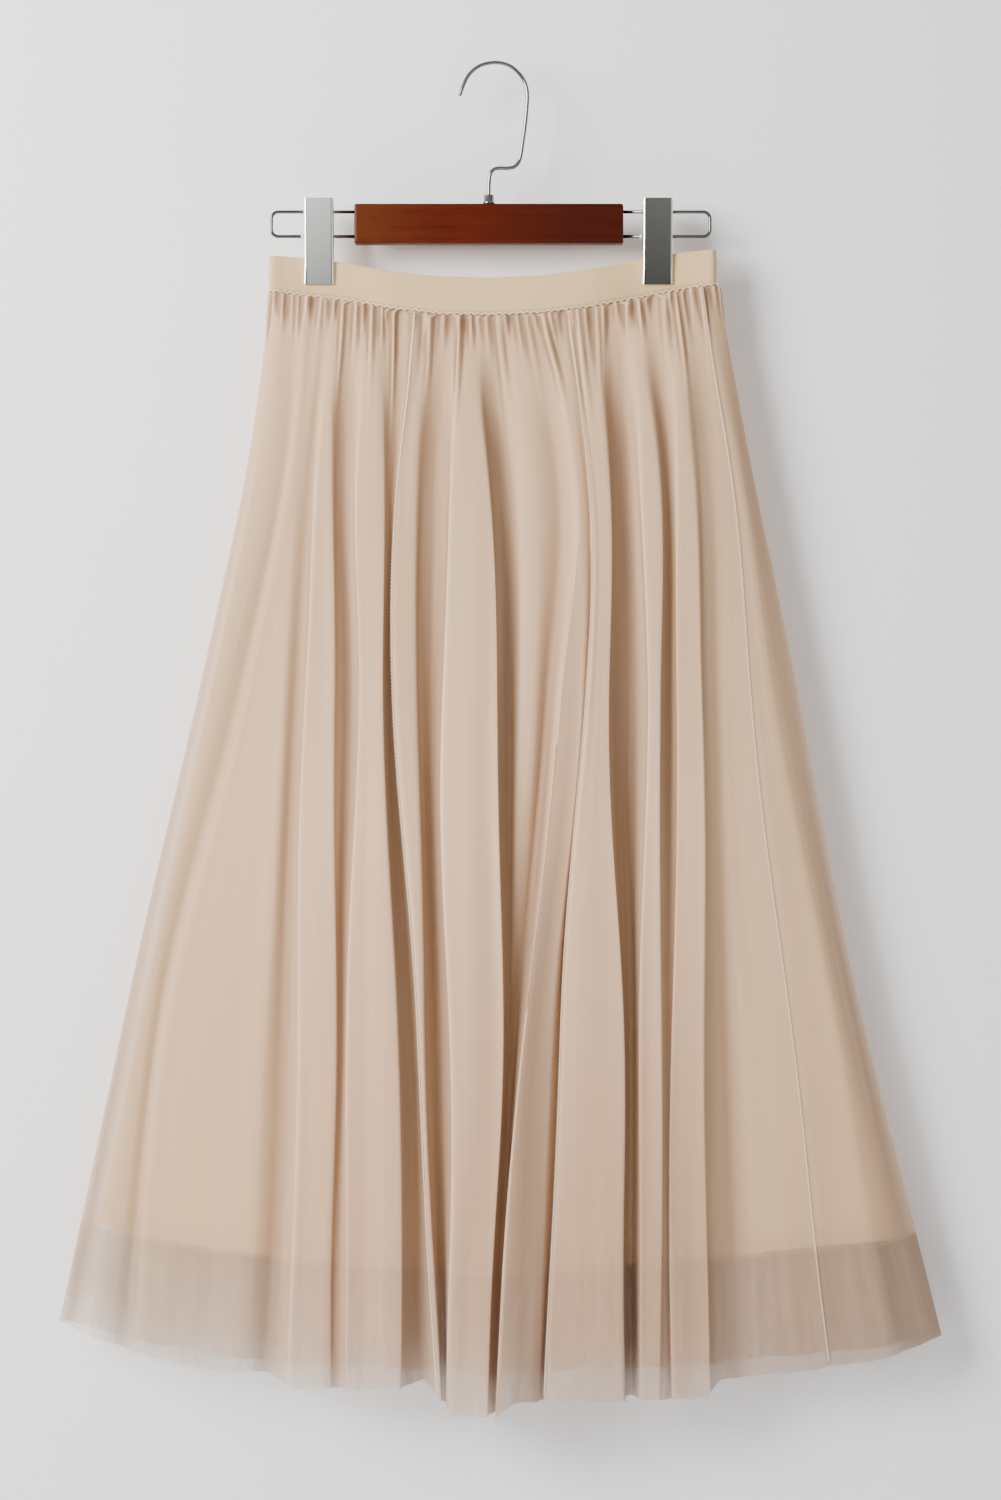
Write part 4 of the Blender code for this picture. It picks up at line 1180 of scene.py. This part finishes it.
def make_jaw(name, node, centre, width, front, material):
    """One pressed jaw, with a turned-in lip at the top of its lever."""
    facing = -1 if front else 1
    heights = [row[0] for row in JAW_ROWS]
    fine = sorted({*heights, *np.linspace(heights[0], heights[-1], 32).round(2)}, reverse=True)
    rows = []
    for z in fine:
        reach, face = (np.interp(-z, [-h for h in heights], [row[k] for row in JAW_ROWS]) for k in (1, 2))
        straight = np.interp(-z, (-heights[0], -heights[-1]), (JAW_ROWS[0][2], JAW_ROWS[-1][2]))
        rows.append((z, reach + straight - face, straight))
    grid_rows = []
    lip_z, lip_reach, lip_face = rows[0]
    lip = jaw_profile(width - 0.8, lip_reach, lip_face)
    turned_in = [(side, max(depth - LIP_DEPTH, lip_face - lip_reach)) for side, depth in lip]
    sections = [(lip_z - 0.1, turned_in)]
    for z, reach, face in rows:
        narrow = 0.5 if z == fine[0] else 0.0
        sections.append((z, jaw_profile(width - narrow, reach, face)))
    for z, half in sections:
        whole = half + [(0.0, half[-1][1])] + [(-side, depth) for side, depth in reversed(half)]
        grid_rows.append([(centre + side, facing * depth, z) for side, depth in whole])
    points = np.array(grid_rows)
    mesh = bend_grid(name, (points, points[:, :, [0, 2]]))
    work = bmesh.new()
    work.from_mesh(mesh)
    bmesh.ops.recalc_face_normals(work, faces=list(work.faces))
    if sum(face.normal.y * facing * face.calc_area() for face in work.faces) < 0:
        bmesh.ops.reverse_faces(work, faces=list(work.faces))
    bmesh.ops.solidify(work, geom=list(work.faces), thickness=CLIP_SHEET * MM)
    work.to_mesh(mesh)
    work.free()
    mesh.set_sharp_from_angle(angle=math.radians(38))
    return finish_piece(name, mesh, material, [node])


def spring_path(centre):
    """The spring coiled on the lower wire, an arm behind each lever."""
    turns, steps_per_turn, length, radius = 4, 24, 11.0, 2.15
    total = turns * steps_per_turn + steps_per_turn // 2
    found = [(centre - length / 2, -6.6, -99.5)]
    for part in range(total + 1):
        angle = math.pi + math.tau * part / steps_per_turn
        x = centre + length * (part / total - 0.5)
        found.append((x, radius * math.cos(angle), LOOP_LOWER_Z + radius * math.sin(angle)))
    found.append((centre + length / 2, 6.6, -99.5))
    return found


def make_ear(name, x, material):
    """The round, softened head of the pin that a clip turns on."""
    at_wire = Matrix.Translation(Vector((x, 0.0, LOOP_LOWER_Z)) * MM)
    radius = EAR_RADIUS * MM
    work = bmesh.new()
    bmesh.ops.create_cone(
        work, cap_ends=True, segments=32, radius1=radius, radius2=radius, depth=EAR_THICKNESS * MM,
        matrix=at_wire @ Matrix.Rotation(math.pi / 2, 4, "Y"),
    )
    rims = [edge for edge in work.edges if len(edge.link_faces) == 2 and edge.calc_face_angle() > 1.0]
    bmesh.ops.bevel(
        work, geom=rims, offset=0.4 * MM, segments=3, profile=0.5, affect="EDGES", material=-1
    )
    mesh = bpy.data.meshes.new(name)
    work.to_mesh(mesh)
    work.free()
    finish_piece(name, mesh, material, ())


for side, centre, material in (("left", CLIP_LEFT_X, clip_left), ("right", CLIP_RIGHT_X, clip_right)):
    make_jaw(f"clip_{side}_front", f"clip_front_{side}", centre, CLIP_WIDTH, True, material)
    make_jaw(f"clip_{side}_back", f"clip_back_{side}", centre, CLIP_WIDTH - 2.9, False, material)
    make_ear(f"clip_{side}_ear", centre - CLIP_WIDTH / 2 - 1.15, material)
    coil = spring_path(centre)
    node = f"clip_spring_{side}"
    tube(f"spring_{side}_coiled", coil, SPRING_WIRE, spring_steel, [node], 3)
print("clips made")

# %% [markdown]
# ## Wall, light and camera
# The skirt hangs in front of a pale wall, which shows through the net below the lining. The main
# light is a wide soft one from the upper left, so every ridge is bright on its left flank and shades
# the valley to its right, and the hanger's shadow falls to the right. The wall's paint is clear
# from behind and casts no shadow, so that the back can be looked at and lit as well.


# %% Set the stage
def plane(name, size, centre, turn, material):
    """A flat backdrop piece."""
    work = bmesh.new()
    bmesh.ops.create_grid(work, x_segments=1, y_segments=1, size=size / 2)
    mesh = bpy.data.meshes.new(name)
    work.to_mesh(mesh)
    work.free()
    made = bpy.data.objects.new(name, mesh)
    made.location = centre
    made.rotation_euler = turn
    mesh.materials.append(material)
    made.visible_shadow = False
    bpy.context.scene.collection.objects.link(made)


paint = Finish("pale_wall_paint")
roller = paint.noise(paint.coordinates("Object"), 220.0, 4.0)
behind = paint.add("ShaderNodeNewGeometry", None, None, "Backfacing")
wall_tone = paint.mix(roller, (0.84, 0.84, 0.85), (0.87, 0.87, 0.88))
paint.set(Base_Color=wall_tone, Roughness=0.8, Alpha=1.0 - behind)
paint.bump(roller, 0.05, 0.0003)
floor_paint = Finish("pale_floor_finish")
floor_grain = floor_paint.noise(floor_paint.coordinates("Object"), 60.0, 4.0)
floor_tone = floor_paint.mix(floor_grain, (0.66, 0.65, 0.63), (0.70, 0.69, 0.67))
floor_paint.set(Base_Color=floor_tone, Roughness=0.6)
plane("stage_wall", 3.2, (0.0, 0.032, 0.25), (math.pi / 2, 0.0, 0.0), paint.material)
plane("stage_floor", 9.0, (0.0, 0.0, -1.35), (0.0, 0.0, 0.0), floor_paint.material)


SKIRT_MIDDLE = (0.0, 0.0, -0.5)


def soft_light(name, place, aim, size, power, colour=(1.0, 1.0, 1.0)):
    """A square area light aimed at a point."""
    data = bpy.data.lights.new(name, "AREA")
    data.shape = "SQUARE"
    data.size = size
    data.energy = power
    data.color = colour
    made = bpy.data.objects.new(name, data)
    made.location = place
    made.rotation_euler = (Vector(aim) - Vector(place)).to_track_quat("-Z", "Y").to_euler()
    bpy.context.scene.collection.objects.link(made)


soft_light("key_light", (-1.5, -1.4, 0.25), (0.0, 0.0, -0.45), 1.1, 110.0, (1.0, 0.985, 0.96))
soft_light("fill_light", (1.6, -2.6, 0.2), SKIRT_MIDDLE, 2.2, 10.0, (0.96, 0.98, 1.0))
soft_light("back_light", (0.9, 2.2, 0.5), SKIRT_MIDDLE, 1.6, 75.0)
world = bpy.data.worlds.new("soft_room")
bpy.context.scene.world = world
world.use_nodes = True
room = Finish("soft_room", world.node_tree, world.node_tree.nodes["Background"])
toward = room.coordinates("Generated")
lit_side = room.math("MULTIPLY_ADD", room.part(toward, 0), -0.22, 0.44)
lit_above = room.part(toward, 2) * 0.2
room.set(Color=(0.95, 0.97, 1.0, 1.0), Strength=lit_side + lit_above)

lens = bpy.data.cameras.new("photo_camera")
lens.lens = 80.0
lens.sensor_fit = "VERTICAL"
lens.sensor_height = 36.0
camera = bpy.data.objects.new("photo_camera", lens)
camera.location = (0.0025, -2.4, -0.4935)
camera.rotation_euler = (math.pi / 2, 0.0, 0.0)
bpy.context.scene.collection.objects.link(camera)
bpy.context.scene.camera = camera
print("camera at", tuple(camera.location))
